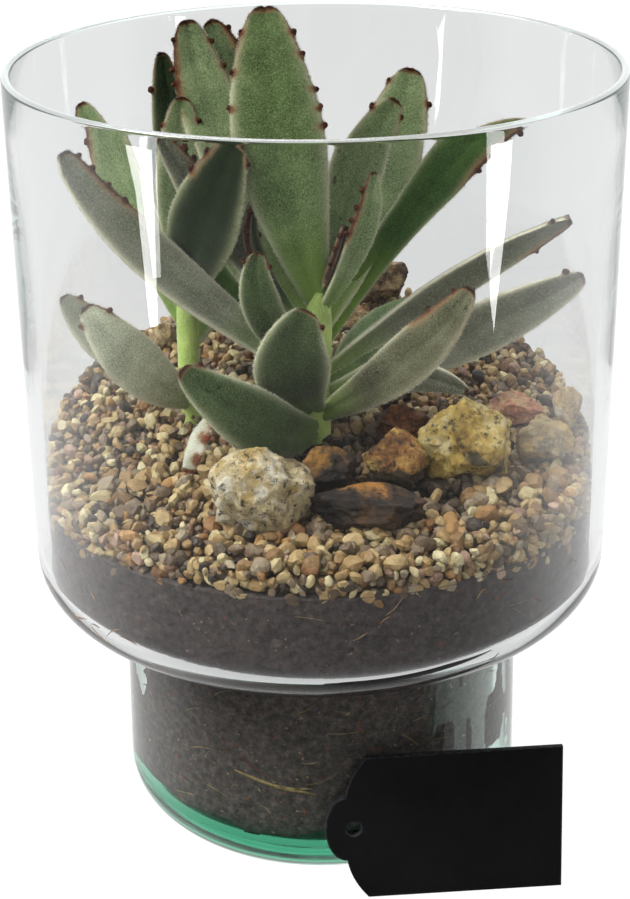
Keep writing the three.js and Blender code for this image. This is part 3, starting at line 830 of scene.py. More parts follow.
def bed_grains(draw):
    """Two layers of a jittered honeycomb along the gravel's height, the upper one with gaps."""
    steps = np.arange(-28, 29)
    i, k = np.meshgrid(steps, steps)
    x = (i + (k % 2) / 2) * GRAIN_STEP
    y = k * GRAIN_STEP * ROW_SHARE
    spots = np.stack([x.ravel(), y.ravel()], -1)
    layers = []
    for lift, share in GRAIN_LAYERS:
        jittered = spots + draw.uniform(-GRAIN_JITTER, GRAIN_JITTER, spots.shape)
        inside = np.hypot(*jittered.T) < JAR_INSIDE - GRAIN_SHORT
        jittered = jittered[inside & (draw.uniform(0, 1, len(spots)) < share)]
        z = gravel_height(*jittered.T) + lift + draw.uniform(-0.7, 0.7, len(jittered))
        layers.append(np.column_stack([jittered, z]))
    return layers


def wall_grains(draw):
    """Jittered rows against the glass, from the soil's line up to the gravel's height."""
    row = np.arange(WALL_ROWS)[:, None]
    turn = (np.arange(WALL_COLUMNS)[None] + 0.5 * (row % 2)) * 2 * math.pi / WALL_COLUMNS
    turn = turn + draw.uniform(-0.4, 0.4, turn.shape) * 2 * math.pi / WALL_COLUMNS
    radius = JAR_INSIDE - GAP - WALL_SHORT - draw.uniform(0, 0.9, turn.shape)
    x, y = radius * np.cos(turn), radius * np.sin(turn)
    z = soil_line(np.arctan2(y, x)) + WALL_LIFT + row * WALL_STEP + draw.uniform(-0.8, 0.8, turn.shape)
    return np.stack([x, y, z], -1)[z < gravel_height(x, y) + WALL_LIFT]


def sunk_grains(draw):
    """Single grains that have sunk into the soil at the glass, most of them only a little."""
    turn = draw.uniform(-math.pi, math.pi, SUNK_GRAINS)
    height = soil_line(turn) + 0.6 - draw.exponential(SUNK_MEAN, SUNK_GRAINS).clip(0, SUNK_MOST)
    return round_axis(JAR_INSIDE - GAP - 0.5, turn, height)


def front_grains(draw):
    """Larger grains on top of the others in front."""
    turn = draw.uniform(FRONT_FROM, FRONT_TO, FRONT_GRAINS)
    radius = draw.uniform(52, JAR_INSIDE - 3.4, FRONT_GRAINS)
    x, y = radius * np.cos(turn), radius * np.sin(turn)
    return np.column_stack([x, y, gravel_height(x, y) + draw.uniform(*FRONT_LIFTS, FRONT_GRAINS)])


def build_gravel(draw):
    """All the grains, in one piece for each colour; most of those between the front rocks are dark, as debris
    and as painted shade.
    """
    shapes = [chipped_ball(draw) for _ in range(GRAIN_SHAPES)]
    places = np.concatenate([*bed_grains(draw), wall_grains(draw), sunk_grains(draw), front_grains(draw)])
    sizes = draw.uniform(*GRAIN_SIZES, len(places))
    sizes[-FRONT_GRAINS:] = draw.uniform(*FRONT_GRAIN_SIZES, FRONT_GRAINS)
    group = draw.choice(len(GRAVEL_TONES), len(places), p=GRAVEL_SHARES)
    group[-FRONT_GRAINS:] = draw.choice(len(FRONT_SHARES), FRONT_GRAINS, p=FRONT_SHARES)
    # Dark grains between the front rocks: dark debris and painted shade in the gaps.
    between = np.hypot(*((places[:, :2] - DEBRIS_AND_SHADE_MIDDLE) / DEBRIS_AND_SHADE_RADII).T) < 1
    group[between & (draw.uniform(0, 1, len(places)) < DEBRIS_AND_SHADE_SHARE)] = len(GRAVEL_TONES) - 1
    for index, (name, tones) in enumerate(GRAVEL_TONES.items()):
        mine = group == index
        scattered(name, places[mine], sizes[mine], shapes, draw, grain_finish(name, *tones))


# ---- Rocks ----------------------------------------------------------------------------------------

FACETS = 9  # planes that cut each rock
GOLDEN_ANGLE = 2.39996  # spreads their directions evenly
FACET_EDGE = 90.0  # the larger, the sharper the edges between them
FACET_REACHES = (0.56, 0.82)  # how far from the middle they cut
ROCK_GRID = (88, 132)
ROCK_JAG = 0.07  # how rough the faces are, as a share of the radius
ROCK_SEED = 500


def rock(name, at, size, turn, finish, lean, seed):
    """A ball cut by planes into flat facets, roughened by noise of five sizes, stretched and turned.

    lean is a direction, by which a point's mark goes from -1 to 1; with a fourth number it is a band
    that far along the direction.
    """
    draw = np.random.default_rng(ROCK_SEED + seed)
    ball = ball_points(*ROCK_GRID)
    height = 1 - 2 * (np.arange(FACETS) + 0.5) / FACETS
    level, spiral = np.sqrt(1 - height**2), GOLDEN_ANGLE * np.arange(FACETS)
    spread = np.stack([level * np.cos(spiral), level * np.sin(spiral), height], -1)
    normals = unit(spread + draw.normal(size=(FACETS, 3)) * 0.25)
    reach = cut_reach(ball, normals, draw.uniform(*FACET_REACHES, FACETS))
    nearness = np.exp(-FACET_EDGE * np.minimum(reach, 3)).sum(-1) + np.exp(-FACET_EDGE)
    soft = -np.log(nearness) / FACET_EDGE
    rough = cloud(ball, 0.5, seed) + 0.7 * cloud(ball, 0.24, seed + 1) + 0.4 * cloud(ball, 0.1, seed + 2)
    rough = rough + 0.3 * cloud(ball, 0.045, seed + 3) + 0.7 - 1.6 * np.abs(cloud(ball, 0.36, seed + 4))
    radius = np.clip(soft / np.quantile(soft, 0.97) + ROCK_JAG * rough, 0.4, 1.06)
    cut = ball * radius[..., None]
    low, high = cut.min((0, 1)), cut.max((0, 1))
    cut = (cut - (low + high) / 2) / (high - low) * np.array(size)
    cos, sin = math.cos(math.radians(turn)), math.sin(math.radians(turn))
    spin = np.array([[cos, -sin, 0], [sin, cos, 0], [0, 0, 1]])
    points, faces = capped_tube(cut @ spin.T + np.array(at))
    direction = np.array(lean or (0, 0, 1), float)
    mark = ball @ spin.T @ unit(direction[:3])
    if len(direction) > 3:
        mark = 1 - 4 * np.abs(mark - direction[3])
    mark = np.append(mark.ravel(), [mark[0].mean(), mark[-1].mean()])
    add_piece(f"rock_{name}", points, faces, finish, [f"stone_{name}"], {"lean": mark})


BLACK, UMBER, RUST = shade(24, 19, 15), shade(58, 40, 22), shade(122, 70, 38)
OCHRE, GOLD, SAND = shade(178, 128, 58), shade(204, 170, 88), shade(198, 172, 126)
CREAM, GREY, SLATE = shade(222, 212, 186), shade(138, 130, 116), shade(58, 56, 52)
ROCK_ROUGH, WET_ROCK_ROUGH = 0.72, 0.5

# Each rock: its middle, its size before it is turned, its turn in degrees, three tones, the pits'
# colour and share, its patches (see rock_finish), and its lean (see rock)
ROCKS = {
    "pale_large": ((-17.2, -60, 139.8), (32, 20, 28), 10,
                   (shade(128, 108, 74), shade(212, 192, 146), shade(232, 224, 204)), shade(50, 44, 36), 0.95,
                   (shade(182, 150, 84), 110, 0.53, 0.62, 0.06), (-0.5, 0, 0.8)),
    "dark_flat": ((13.8, -62, 135), (36, 15, 15.5), -4,
                  (shade(14, 11, 9), shade(38, 26, 16), shade(88, 60, 30)), BLACK, 0.8,
                  (shade(184, 124, 52), 70, 0.66, 0.8, 0.24), (-0.25, 0.1, 1)),
    "brown": ((3, -44, 138.8), (18, 12.5, 16), 20,
              (BLACK, shade(70, 48, 26), shade(112, 78, 42)), BLACK, 0.7,
              (OCHRE, 60, 0.6, 0.72, 0.18), (-0.3, 0, 1)),
    "brown_yellow": ((23, -42.5, 142), (21, 16, 18), -15,
                     (shade(80, 52, 24), shade(150, 100, 46), GOLD), BLACK, 0.9,
                     (shade(14, 12, 11), 60, 0.47, 0.53, 0.26), (0.2, 0, -1)),
    "striped": ((47.5, -34, 142.5), (34, 21, 31), 30,
                (shade(166, 130, 60), shade(214, 182, 96), shade(228, 210, 158)), BLACK, 0.85,
                (SLATE, 70, 0.55, 0.62, 0.12), (0.65, 0, 0.76, 0.1)),
    "red": ((64.5, -3, 141.5), (18, 14, 9), 12,
            (shade(140, 84, 58), shade(190, 130, 98), SAND), RUST, 0.6,
            (CREAM, 80, 0.6, 0.68, 0.0), None),
    "orange": ((26.5, -15, 142), (18, 13, 12), -10,
               (shade(50, 28, 16), shade(112, 60, 30), shade(156, 98, 48)), BLACK, 0.8, None, None),
    "grey_yellow": ((71, -25, 139.5), (18, 15, 17), 5,
                    (GREY, SAND, GOLD), shade(104, 82, 54), 0.6, (SLATE, 60, 0.6, 0.66, 0.0), None),
    "tan_side": ((82.5, -5, 142), (11, 14, 16), 0,
                 (shade(150, 116, 84), SAND, CREAM), shade(110, 84, 60), 0.5, None, None),
    "back": ((23, 72, 158), (20, 15, 17), 25,
             (UMBER, shade(134, 106, 72), SAND), BLACK, 0.8, (BLACK, 60, 0.58, 0.64, 0.0), None),
    "back_low": ((15, 56, 148.5), (14, 13, 9), -20,
                 (UMBER, shade(150, 120, 78), SAND), BLACK, 0.7, None, None),
    "back_left": ((-55, 50, 146.5), (11, 10, 12), 15,
                  (shade(140, 108, 72), SAND, CREAM), UMBER, 0.5, None, None),
}


def build_rocks():
    """Every rock with a finish of its own; the dark flat one is wet."""
    for index, (name, (at, size, turn, tones, pit, pit_share, patch, lean)) in enumerate(ROCKS.items()):
        rough = WET_ROCK_ROUGH if name == "dark_flat" else ROCK_ROUGH
        finish = rock_finish(f"rock_{name}", tones, pit, pit_share, patch, rough)
        rock(name, at, size, turn, finish, lean, 10 * index)


# ---- The plant ------------------------------------------------------------------------------------

STEMS = {
    "main_stem": (4.2, [(-1, -8, 104), (-0.5, -11, 145), (0.5, -8.5, 187)]),
    "side_stem": (3.6, [(-40, 2, 104), (-44, 4, 146), (-42.5, 7, 181)]),
}
FRONT = unit(np.array([0, -0.91, 0.41]))

# Each leaf: its stem, how far up it stands (a share of the stem), tip, bend, width, thickness, turn,
# felt, and the tone that multiplies its colour (partly the leaf's own green, partly painted shade and
# light), then the brown of its left margin, of its right margin and where it starts, and the teeth on
# each margin, as shares of the blade's length
LEAVES = {
    "leaf_centre_tall": ("main_stem", 0.92, (-15, 1, 272), (-3, -10, 3), 26, 5, 0, "sage", 0.86,
                         (0.4, 0.4, 0.74), (0.68, 0.79, 0.915), (0.585, 0.645, 0.71, 0.83, 0.905)),
    "leaf_centre_right": ("main_stem", 0.9, (25, 7, 242), (-2, 2, 4), 16, 4.4, 15, "light", 0.75,
                          (0.2, 0.3, 0.7), (0.9,), (0.93,)),
    "leaf_back_right_tall": ("main_stem", 0.82, (31, 25, 247.5), (3, 6, -1), 23, 4.5, -5, "light", 0.85,
                             (0.3, 0.3, 0.75), (0.7, 0.82, 0.93), (0.75, 0.88)),
    "leaf_centre_small": ("main_stem", 0.87, (17, -15, 223.5), (4, -4, 3), 8.5, 3.6, 30, "light", 0.8,
                          (0.9, 0.1, 0.42), (0.55, 0.65, 0.75, 0.87), ()),
    "leaf_bud": ("main_stem", 0.95, (8.5, -16, 208), (1.5, -2, 1), 6, 3, 60, "dark", 0.9,
                 (1.0, 0.8, 0.15), (0.5, 0.7, 0.88), ()),
    "leaf_right_high": ("main_stem", 0.72, (72, 22, 228), (3, 7, 17), 13, 4.4, 5, "deep", 0.8,
                        (0.3, 0.9, 0.5), (), (0.63, 0.75, 0.9)),
    "leaf_right_long": ("main_stem", 0.62, (82, 6, 202.5), (0, 4, 2), 10.5, 4.6, 35, "pale", 0.44,
                        (0.1, 0.9, 0.72), (0.93,), (0.84,)),
    "leaf_right_wide": ("main_stem", 0.53, (85, -8, 188), (4, 1, 0), 16, 5, 20, "pale", 0.37,
                        (0.3, 0.1, 0.86), (0.94,), ()),
    "leaf_right_front": ("main_stem", 0.46, (46, -38, 195), (3, -6, -1), 15, 6, -10, "olive", 0.44,
                         (0.9, 0.2, 0.6), (0.78, 0.93), ()),
    "leaf_right_low": ("main_stem", 0.47, (47.5, -16, 152.5), (1, -1, 9), 10, 4, 25, "pale", 0.42,
                       (0.0, 0.0, 0.9), (), ()),
    "leaf_front_upright": ("main_stem", 0.48, (-3, -34, 187), (-6.5, -9, 0), 22, 5.2, 0, "sage", 0.36,
                           (0.1, 0.3, 0.9), (), (0.94,)),
    "leaf_front_low": ("main_stem", 0.41, (-41, -50, 175), (4, -8, -5.5), 18.5, 5.2, 10, "sage", 0.52,
                       (0.1, 0.5, 0.85), (), (0.95,)),
    "leaf_front_small": ("main_stem", 0.62, (-18, -24, 202.5), (-7, -5, 2), 11.5, 4, -8, "sage", 0.5,
                         (0.3, 0.5, 0.85), (0.92,), (0.9,)),
    "leaf_curled_young": ("main_stem", 0.33, (-40, -52, 142.5), (-6.7, -3.2, 17), 9.5, 4.2, -70, "young", 0.7,
                          (0.0, 0.0, 1.0), (0.7, 0.9), (0.56, 0.64, 0.72, 0.81, 0.93)),
    "leaf_left_long": ("main_stem", 0.6, (-78, -14, 230.5), (-9, -3, 3), 15, 5.4, 25, "pale", 0.48,
                       (0.0, 1.0, 0.6), (), (0.72, 0.8, 0.88, 0.95)),
    "leaf_left_low": ("side_stem", 0.46, (-72, -24, 185.5), (1, -8, -1), 16, 5, 10, "pale", 1.25,
                      (0.1, 0.6, 0.78), (0.93,), (0.9,)),
    "leaf_left_low_back": ("side_stem", 0.53, (-84, 2, 179), (-3, 0, -2), 14, 4.4, 15, "pale", 0.6,
                           (0.1, 0.5, 0.7), (), (0.9,)),
    "leaf_side_broad": ("side_stem", 0.96, (-23.5, -18, 233), (-3, -6, -1), 22, 5, -12, "deep", 0.15,
                        (0.5, 0.1, 0.7), (0.78, 0.884), (0.95,)),
    "leaf_side_tall": ("main_stem", 0.8, (-40, 18, 265), (-7, 3, 5), 19, 4.6, 10, "light", 0.93,
                       (0.8, 0.4, 0.62), (0.78, 0.833, 0.93), (0.8, 0.9)),
    "leaf_side_tall_back": ("main_stem", 0.84, (-33, 28, 263), (-2, 10, 6), 17, 4.4, -15, "light", 0.6,
                            (0.4, 1.0, 0.5), (0.93,), (0.8, 0.87, 0.94)),
    "leaf_side_dark": ("side_stem", 0.92, (-49.5, 30, 252.5), (0, 6, 5), 12, 4.2, 25, "dark", 0.9,
                       (0.5, 0.5, 0.8), (0.81,), ()),
    "leaf_side_inner": ("side_stem", 0.88, (-41.5, 9, 243), (-1, 0, 3), 15, 4.2, 0, "light", 0.7,
                        (0.4, 0.4, 0.8), (0.85,), (0.88,)),
    "leaf_side_small": ("main_stem", 0.72, (-49, -6, 231.5), (-3, 3, 4), 11, 4.2, 15, "pale", 0.42,
                        (0.2, 1.0, 0.72), (), (0.81, 0.87, 0.94)),
    "leaf_left_high": ("side_stem", 0.78, (-75, 24, 238), (-2, 3, 4), 14, 4.6, -15, "light", 0.8,
                       (0.9, 0.1, 0.62), (0.78, 0.85, 0.93), ()),
    "leaf_side_outer": ("main_stem", 0.6, (-55, 34, 220), (-10, 11, -4), 11, 4.2, 0, "deep", 0.8,
                        (0.3, 0.3, 0.8), (0.85,), (0.88,)),
    "leaf_side_edge": ("main_stem", 0.73, (-19, -12, 216), (-9, -2, 5), 8, 3.6, 60, "dark", 0.9,
                       (1.0, 1.0, 0.3), (0.6, 0.75, 0.9), (0.65, 0.8)),
    "leaf_back_left": ("side_stem", 0.7, (-34, 60, 192), (3, 3, -2), 18, 4.8, 160, "sage", 0.9,
                       (0.3, 0.3, 0.72), (0.7, 0.86), (0.74, 0.9)),
    "leaf_back_middle": ("main_stem", 0.64, (1, 58, 203.5), (0, 7, 2), 18, 4.8, 175, "sage", 0.9,
                         (0.3, 0.3, 0.72), (0.72, 0.85), (0.7, 0.9)),
    "leaf_back_right": ("main_stem", 0.5, (36, 46, 160), (1, 6, 3), 16, 4.6, 150, "sage", 0.9,
                        (0.3, 0.3, 0.72), (0.75, 0.88), (0.7, 0.85)),
}


def width_share(place):
    """Half of a blade's width, as a share of the most: a narrow root, widest past the middle, a blunt tip."""
    power = 0.8 - 0.38 * np.clip((place - 0.72) / 0.28, 0, 1)
    body = np.sin(math.pi * np.clip(place, 0, 1) ** 1.3).clip(0) ** power
    return LEAF_BASE_SHARE * (1 - place) + body * (1 - 0.12 * (1 - place))


BLADE_COLUMNS = 36
BLADE_END = 0.9993  # place of the last ring; a point closes the blade there
TIP_FROM = 0.9  # beyond this the rings stand closer and closer
BLADE_RINGS, TIP_RINGS = 110, 22
TOOTH_PUSH = 0.8  # how far a tooth pushes the margin out
BLADE_WAVE = 0.25  # how far a blade waves off its smooth form
GROOVE_DEPTH, GROOVE_HALF = 0.35, 0.16  # along the middle, as shares of the thickness and the width
INSIDE_MARGIN = 2  # columns from the margin to the points that draw a tooth inwards


def leaf_surface(stem, root, tip, bend, width, thick, turn, fold, spot, brown, teeth_at):
    """Points of a blade as (along, round, 3), its outward directions, its marks and where its teeth stand.

    The middle line is a curve from the stem to the tip. A rounded lens is carried along it, as wide as
    width_share says, folded so that its margins stand above its middle, and pushed out a little at each
    tooth. spot is how wide the brown at a tooth is.
    """
    start, _ = bezier(STEMS[stem][1], root)
    tip, bend = np.array(tip, float), np.array(bend, float)
    chord = unit(tip - start)
    across = unit(np.cross(chord, FRONT))
    angle = math.radians(turn)
    across = across * math.cos(angle) + np.cross(chord, across) * math.sin(angle)

    towards_tip = TIP_FROM + (1 - TIP_FROM) * np.sin(np.linspace(0, math.pi / 2, TIP_RINGS)[1:])
    place = np.concatenate([np.linspace(0, TIP_FROM, BLADE_RINGS), towards_tip])
    place = np.minimum(place, BLADE_END)
    around = np.linspace(0, 2 * math.pi, BLADE_COLUMNS, endpoint=False)
    middle, along = bezier([start, (start + tip) / 2 + 2 * bend, tip], place)
    side = unit(across - along * (along @ across)[:, None])
    face = np.cross(side, along)
    length = np.linalg.norm(tip - start)

    sideways = np.sign(np.cos(around)) * np.abs(np.cos(around)) ** 0.9
    lift = np.sign(np.sin(around)) * np.abs(np.sin(around)) ** 0.75
    rim = np.abs(sideways) ** 8
    push = np.zeros((len(place), len(around)))
    stain = np.clip((place - 0.975) / 0.02, 0, 1)[:, None] * np.ones_like(push)
    onset = np.clip((place - brown[2]) * 7, 0, 1)[:, None]
    for hand, places, share in zip((-1, 1), teeth_at, brown):
        near = np.exp(-(((place[:, None] - np.array(places)) * length / spot) ** 2)).sum(1)[:, None]
        mine = (np.sign(sideways) == hand) * np.abs(sideways)
        push += near * mine**8
        stain += 0.95 * near * mine ** (13 / spot**2) + share * onset * mine ** (9 - 5 * share)
    half_width = width / 2 * width_share(place)
    half_thick = thick / 2 * np.sqrt(1 - 0.86 * place**5) * np.minimum(1, 0.55 + 2.2 * place)
    half_thick = np.minimum(half_thick, 0.35 + 1.1 * half_width)
    out = sideways * half_width[:, None] + np.sign(sideways) * TOOTH_PUSH * push
    groove = -GROOVE_DEPTH * np.exp(-((sideways / GROOVE_HALF) ** 2)) * (lift > 0)
    rise = fold * (sideways**2 - 0.4)[None] * np.minimum(1, 4 * place)[:, None]
    rise = rise + lift * half_thick[:, None] * (1 - 0.2 * rim) + groove * half_thick[:, None]
    points = middle[:, None] + side[:, None] * out[..., None] + face[:, None] * rise[..., None]
    points = points + BLADE_WAVE * face[:, None] * cloud(points, 7.0, 31)[..., None]
    outward = unit(points - (middle[:, None] + 0.8 * side[:, None] * out[..., None]))

    knobs = []
    for hand, places in zip((-1, 1), teeth_at):
        row = np.searchsorted(place, np.array(places)).clip(0, len(place) - 1)
        inner = INSIDE_MARGIN * hand
        column = 0 if hand > 0 else BLADE_COLUMNS // 2
        knobs.append(points[row, column] * 0.75 + points[row, column + inner] * 0.125
                     + points[row, column - inner] * 0.125)
    marks = {
        "margin": np.broadcast_to(np.abs(sideways) ** 9, push.shape),
        "brown": np.clip(stain, 0, 1),
        "root": np.broadcast_to(np.clip(1 - place / 0.3, 0, 1)[:, None], push.shape),
    }
    return points, outward, marks, np.concatenate(knobs)


KNOB_RADII = (0.62, 1.0)


def tooth_knobs(places, draw):
    """A rough little ball at each tooth, half sunk into the margin."""
    ball = ball_points(9, 14)
    parts = []
    for place in places:
        radius = draw.uniform(*KNOB_RADII)
        bumpy = ball * (radius * (1 + 0.16 * cloud(ball * 3 + place, 1.0, 12)))[..., None]
        parts.append(capped_tube(place + bumpy * draw.uniform(0.85, 1.2, 3)))
    return parts


HAIR_LENGTH, HAIR_LENGTHS = 0.8, (0.55, 1.25)  # and the shares of it that they have
HAIR_RADII = (0.05, 0.085)
HAIR_FEET = (0.0, 2.094, 4.189)  # the angles of a hair's three corners


def felt_hairs(points, outward, brown, edge, count, draw):
    """Short cones of three sides, standing on random points of a surface and leaning to its tip.

    A third of them stand along the two margins, where the felt is thickest.
    """
    rows, columns, _ = points.shape
    row = np.minimum((draw.uniform(0, 1, count) * (rows - 2)).astype(int), rows - 2)
    column = draw.integers(0, columns, count)
    along = count // 3
    column[:along] = (draw.integers(0, 2, along) * (columns // 2) + draw.integers(-2, 2, along)) % columns
    share = draw.uniform(0, 1, (count, 2, 1))
    after = (column + 1) % columns
    lower = points[row, column] * (1 - share[:, 0]) + points[row, after] * share[:, 0]
    upper = points[row + 1, column] * (1 - share[:, 0]) + points[row + 1, after] * share[:, 0]
    root = lower * (1 - share[:, 1]) + upper * share[:, 1]
    direction = outward[row, column] + 0.5 * unit(upper - lower + 1e-9)
    direction = unit(direction + draw.normal(size=(count, 3)) * 0.35)
    side = unit(np.cross(direction, draw.normal(size=(count, 3))))
    other = np.cross(direction, side)
    thick = draw.uniform(*HAIR_RADII, (count, 1))
    feet = [root + thick * (side * math.cos(a) + other * math.sin(a)) for a in HAIR_FEET]
    tips = root + direction * (HAIR_LENGTH * draw.uniform(*HAIR_LENGTHS, (count, 1)))
    cones = np.stack([*feet, tips], 1)
    first = (np.arange(count) * 4)[:, None, None]
    faces = np.array([[0, 1, 3], [1, 2, 3], [2, 0, 3], [0, 2, 1]])[None] + first
    marks = [np.repeat(mark[row, column], 4) for mark in (brown, edge)]
    return cones.reshape(-1, 3), [faces.reshape(-1, 3)], *marks


# Leaves that are folded more than the rest, by how far their margins stand above their middle
FOLDS = {"leaf_right_long": 3.4, "leaf_right_wide": 2.2, "leaf_left_long": 2.0, "leaf_curled_young": 2.2}
# How wide the stains at the teeth are
SPOTS = {"leaf_curled_young": 2.0}
PLAIN_SPOT = 1.2
HAIRS_TO_AREA = 2.4  # hairs for each square millimetre of a leaf's width times its length

# Each felt: its name, deep, middle and pale skin, margin, teeth, hair, and hair on the teeth
LEAF_RUST, LEAF_UMBER = shade(80, 44, 28), shade(56, 34, 24)
FELTS = {
    "sage": ("sage", shade(46, 64, 30), shade(92, 114, 66), shade(146, 164, 112),
             shade(200, 200, 166), LEAF_RUST, shade(134, 148, 112), LEAF_RUST),
    "light": ("light_green", shade(82, 100, 62), shade(130, 150, 102), shade(178, 190, 148),
              shade(216, 212, 180), LEAF_RUST, shade(164, 176, 136), LEAF_RUST),
    "deep": ("deep_green", shade(28, 56, 16), shade(54, 88, 28), shade(92, 122, 54),
             shade(176, 180, 140), LEAF_UMBER, shade(58, 80, 34), LEAF_UMBER),
    # The pale felt: partly the leaves' own grey-green, partly painted light from the bright surround that
    # they mirror.
    "pale": ("pale", shade(108, 114, 90), shade(160, 164, 138), shade(208, 208, 186),
             shade(226, 220, 196), LEAF_UMBER, shade(186, 190, 166), LEAF_UMBER),
    "olive": ("olive", shade(84, 84, 56), shade(132, 132, 98), shade(184, 182, 148),
              shade(214, 208, 178), LEAF_UMBER, shade(172, 172, 140), LEAF_UMBER),
    "dark": ("dark", shade(24, 36, 22), shade(44, 60, 36), shade(76, 90, 62),
             shade(140, 142, 110), LEAF_UMBER, shade(80, 92, 66), LEAF_UMBER),
    "young": ("young", shade(168, 172, 146), shade(206, 206, 186), shade(232, 230, 216),
              shade(238, 234, 220), shade(112, 36, 22), shade(200, 202, 186), shade(124, 52, 36)),
}


def build_stems():
    """Tubes along the stems' curves, slightly uneven and closing to a blunt top."""
    stem_skin = stem_finish()
    place = np.linspace(0, 1, 60)
    closing = np.sqrt(1.0001 - np.clip((place - 0.86) / 0.14, 0, 1) ** 2)
    for name, (radius, path) in STEMS.items():
        middle, _ = bezier(path, place)
        swell = radius * (1 + 0.06 * cloud(middle, 9.0, 5)) * closing
        points, faces = tube(middle, swell, 24)
        add_piece(f"{name}_skin", points, faces, stem_skin, [name])


def build_leaves(draw):
    """The leaves, their brown teeth and their felt, whose hairs are one piece for each kind.

    The young leaf has red stains in place of tufts.
    """
    felts = {felt: felt_finish(f"felt_{name}", *tones) for felt, (name, *tones, _, _) in FELTS.items()}
    hairs = {felt: [] for felt in FELTS}
    knobs = []
    for name, (stem, root, tip, bend, width, thick, turn, felt, tone, brown, *teeth) in LEAVES.items():
        fold, spot = FOLDS.get(name, LEAF_CUP), SPOTS.get(name, PLAIN_SPOT)
        points, outward, marks, knob_places = leaf_surface(
            stem, root, tip, bend, width, thick, turn, fold, spot, brown, teeth
        )
        surface, faces = capped_tube(points)
        # Each leaf's tone, partly its own green and partly painted shade and light.
        marks["tone"] = np.full(points.shape[:2], tone)
        closed = {mark: np.append(each.ravel(), [each[0, 0], each[-1, 0]]) for mark, each in marks.items()}
        add_piece(f"{name}_felt", surface, faces, felts[felt], [name], closed)
        if felt != "young":
            knobs += tooth_knobs(knob_places, draw)
        count = int(width * np.linalg.norm(points[-1, 0] - points[0, 0]) * HAIRS_TO_AREA)
        hairs[felt].append(felt_hairs(points, outward, marks["brown"], marks["margin"], count, draw))
    for felt, tufts in hairs.items():
        name, *_, hair, tip = FELTS[felt]
        points, faces = joined([tuft[:2] for tuft in tufts])
        brown, edge = (np.concatenate([tuft[part] for tuft in tufts]) for part in (2, 3))
        finish = hair_finish(f"hair_{name}", hair, tip)
        add_piece(f"hairs_{felt}", points, faces, finish, marks={"brown": brown, "edge": edge})
    points, faces = joined(knobs)
    finish = tooth_finish("tooth_brown", shade(34, 20, 15), shade(84, 44, 28))
    add_piece("leaf_teeth", points, faces, finish)


# ---- The tag --------------------------------------------------------------------------------------

TAG_WIDTH, TAG_HEIGHT, TAG_THICKNESS = 63.2, 49.3, 2.4
TAG_LOBE, TAG_SHOULDER, TAG_LOBE_RISE = 6.9, 6.8, 11.2  # the rounded end and its sloping corners
TAG_HOLE_RADIUS, TAG_HOLE_LEFT = 2.3, -4.5
TAG_BEVEL = 0.35
TAG_CORNER = np.array([14.5, -75.2, 0.0])  # lower left corner of its front
TAG_TURN, TAG_LEAN = math.radians(4.6), math.radians(8.6)  # about Z, and back from upright


def tag_outline():
    """Corner to corner: three straight sides, two sloping corners and a half ellipse round the hole."""
    middle = TAG_HEIGHT / 2
    sloping = [(0, TAG_HEIGHT, 0), (-5.5, TAG_HEIGHT - 6, 0), (-TAG_SHOULDER, middle + TAG_LOBE_RISE, 0)]
    upper = bezier(sloping, np.linspace(0, 1, 15))[0][:, :2]
    lower = (upper * [1, -1] + [0, TAG_HEIGHT])[::-1]
    angle = np.linspace(math.pi / 2, 1.5 * math.pi, 41)[1:-1]
    lobe = np.stack([-TAG_SHOULDER + TAG_LOBE * np.cos(angle), middle + TAG_LOBE_RISE * np.sin(angle)], -1)
    low, high = (TAG_WIDTH, 0), (TAG_WIDTH, TAG_HEIGHT)
    right = [line((0, 0), low, 30), [low], line(low, high, 24)]
    top = [[high], line(high, (0, TAG_HEIGHT), 30)]
    return np.concatenate([upper, lobe, lower, *right, *top])


def tag_rings():
    """From the hole over the front to the edge and back over the rear: the rings of the tag's surface.

    Each has its place between hole and edge, how far it is drawn towards the middle of the card, its
    depth, and whether its edge is lighter, from wear and from a painted sheen.
    """
    rear, wide = TAG_THICKNESS, 2.2 * TAG_BEVEL
    return (
        (0.0, 0.0, TAG_BEVEL, 1.0),
        (0.0, -TAG_BEVEL, 0.0, 1.0),
        (0.0, -wide, 0.0, 0.0),
        (0.25, 0.0, 0.0, 0.0),
        (0.5, 0.0, 0.0, 0.0),
        (0.75, 0.0, 0.0, 0.0),
        (1.0, 2.0 * TAG_BEVEL, 0.0, 0.0),
        (1.0, TAG_BEVEL, 0.0, 1.0),
        (1.0, 0.3 * TAG_BEVEL, 0.3 * TAG_BEVEL, 1.0),
        (1.0, 0.0, TAG_BEVEL, 1.0),
        (1.0, 0.0, rear - TAG_BEVEL, 1.0),
        (1.0, TAG_BEVEL, rear, 1.0),
        (1.0, 2.0 * TAG_BEVEL, rear, 0.0),
        (0.5, 0.0, rear, 0.0),
        (0.0, -wide, rear, 0.0),
        (0.0, -TAG_BEVEL, rear, 1.0),
        (0.0, 0.0, rear - TAG_BEVEL, 1.0),
    )


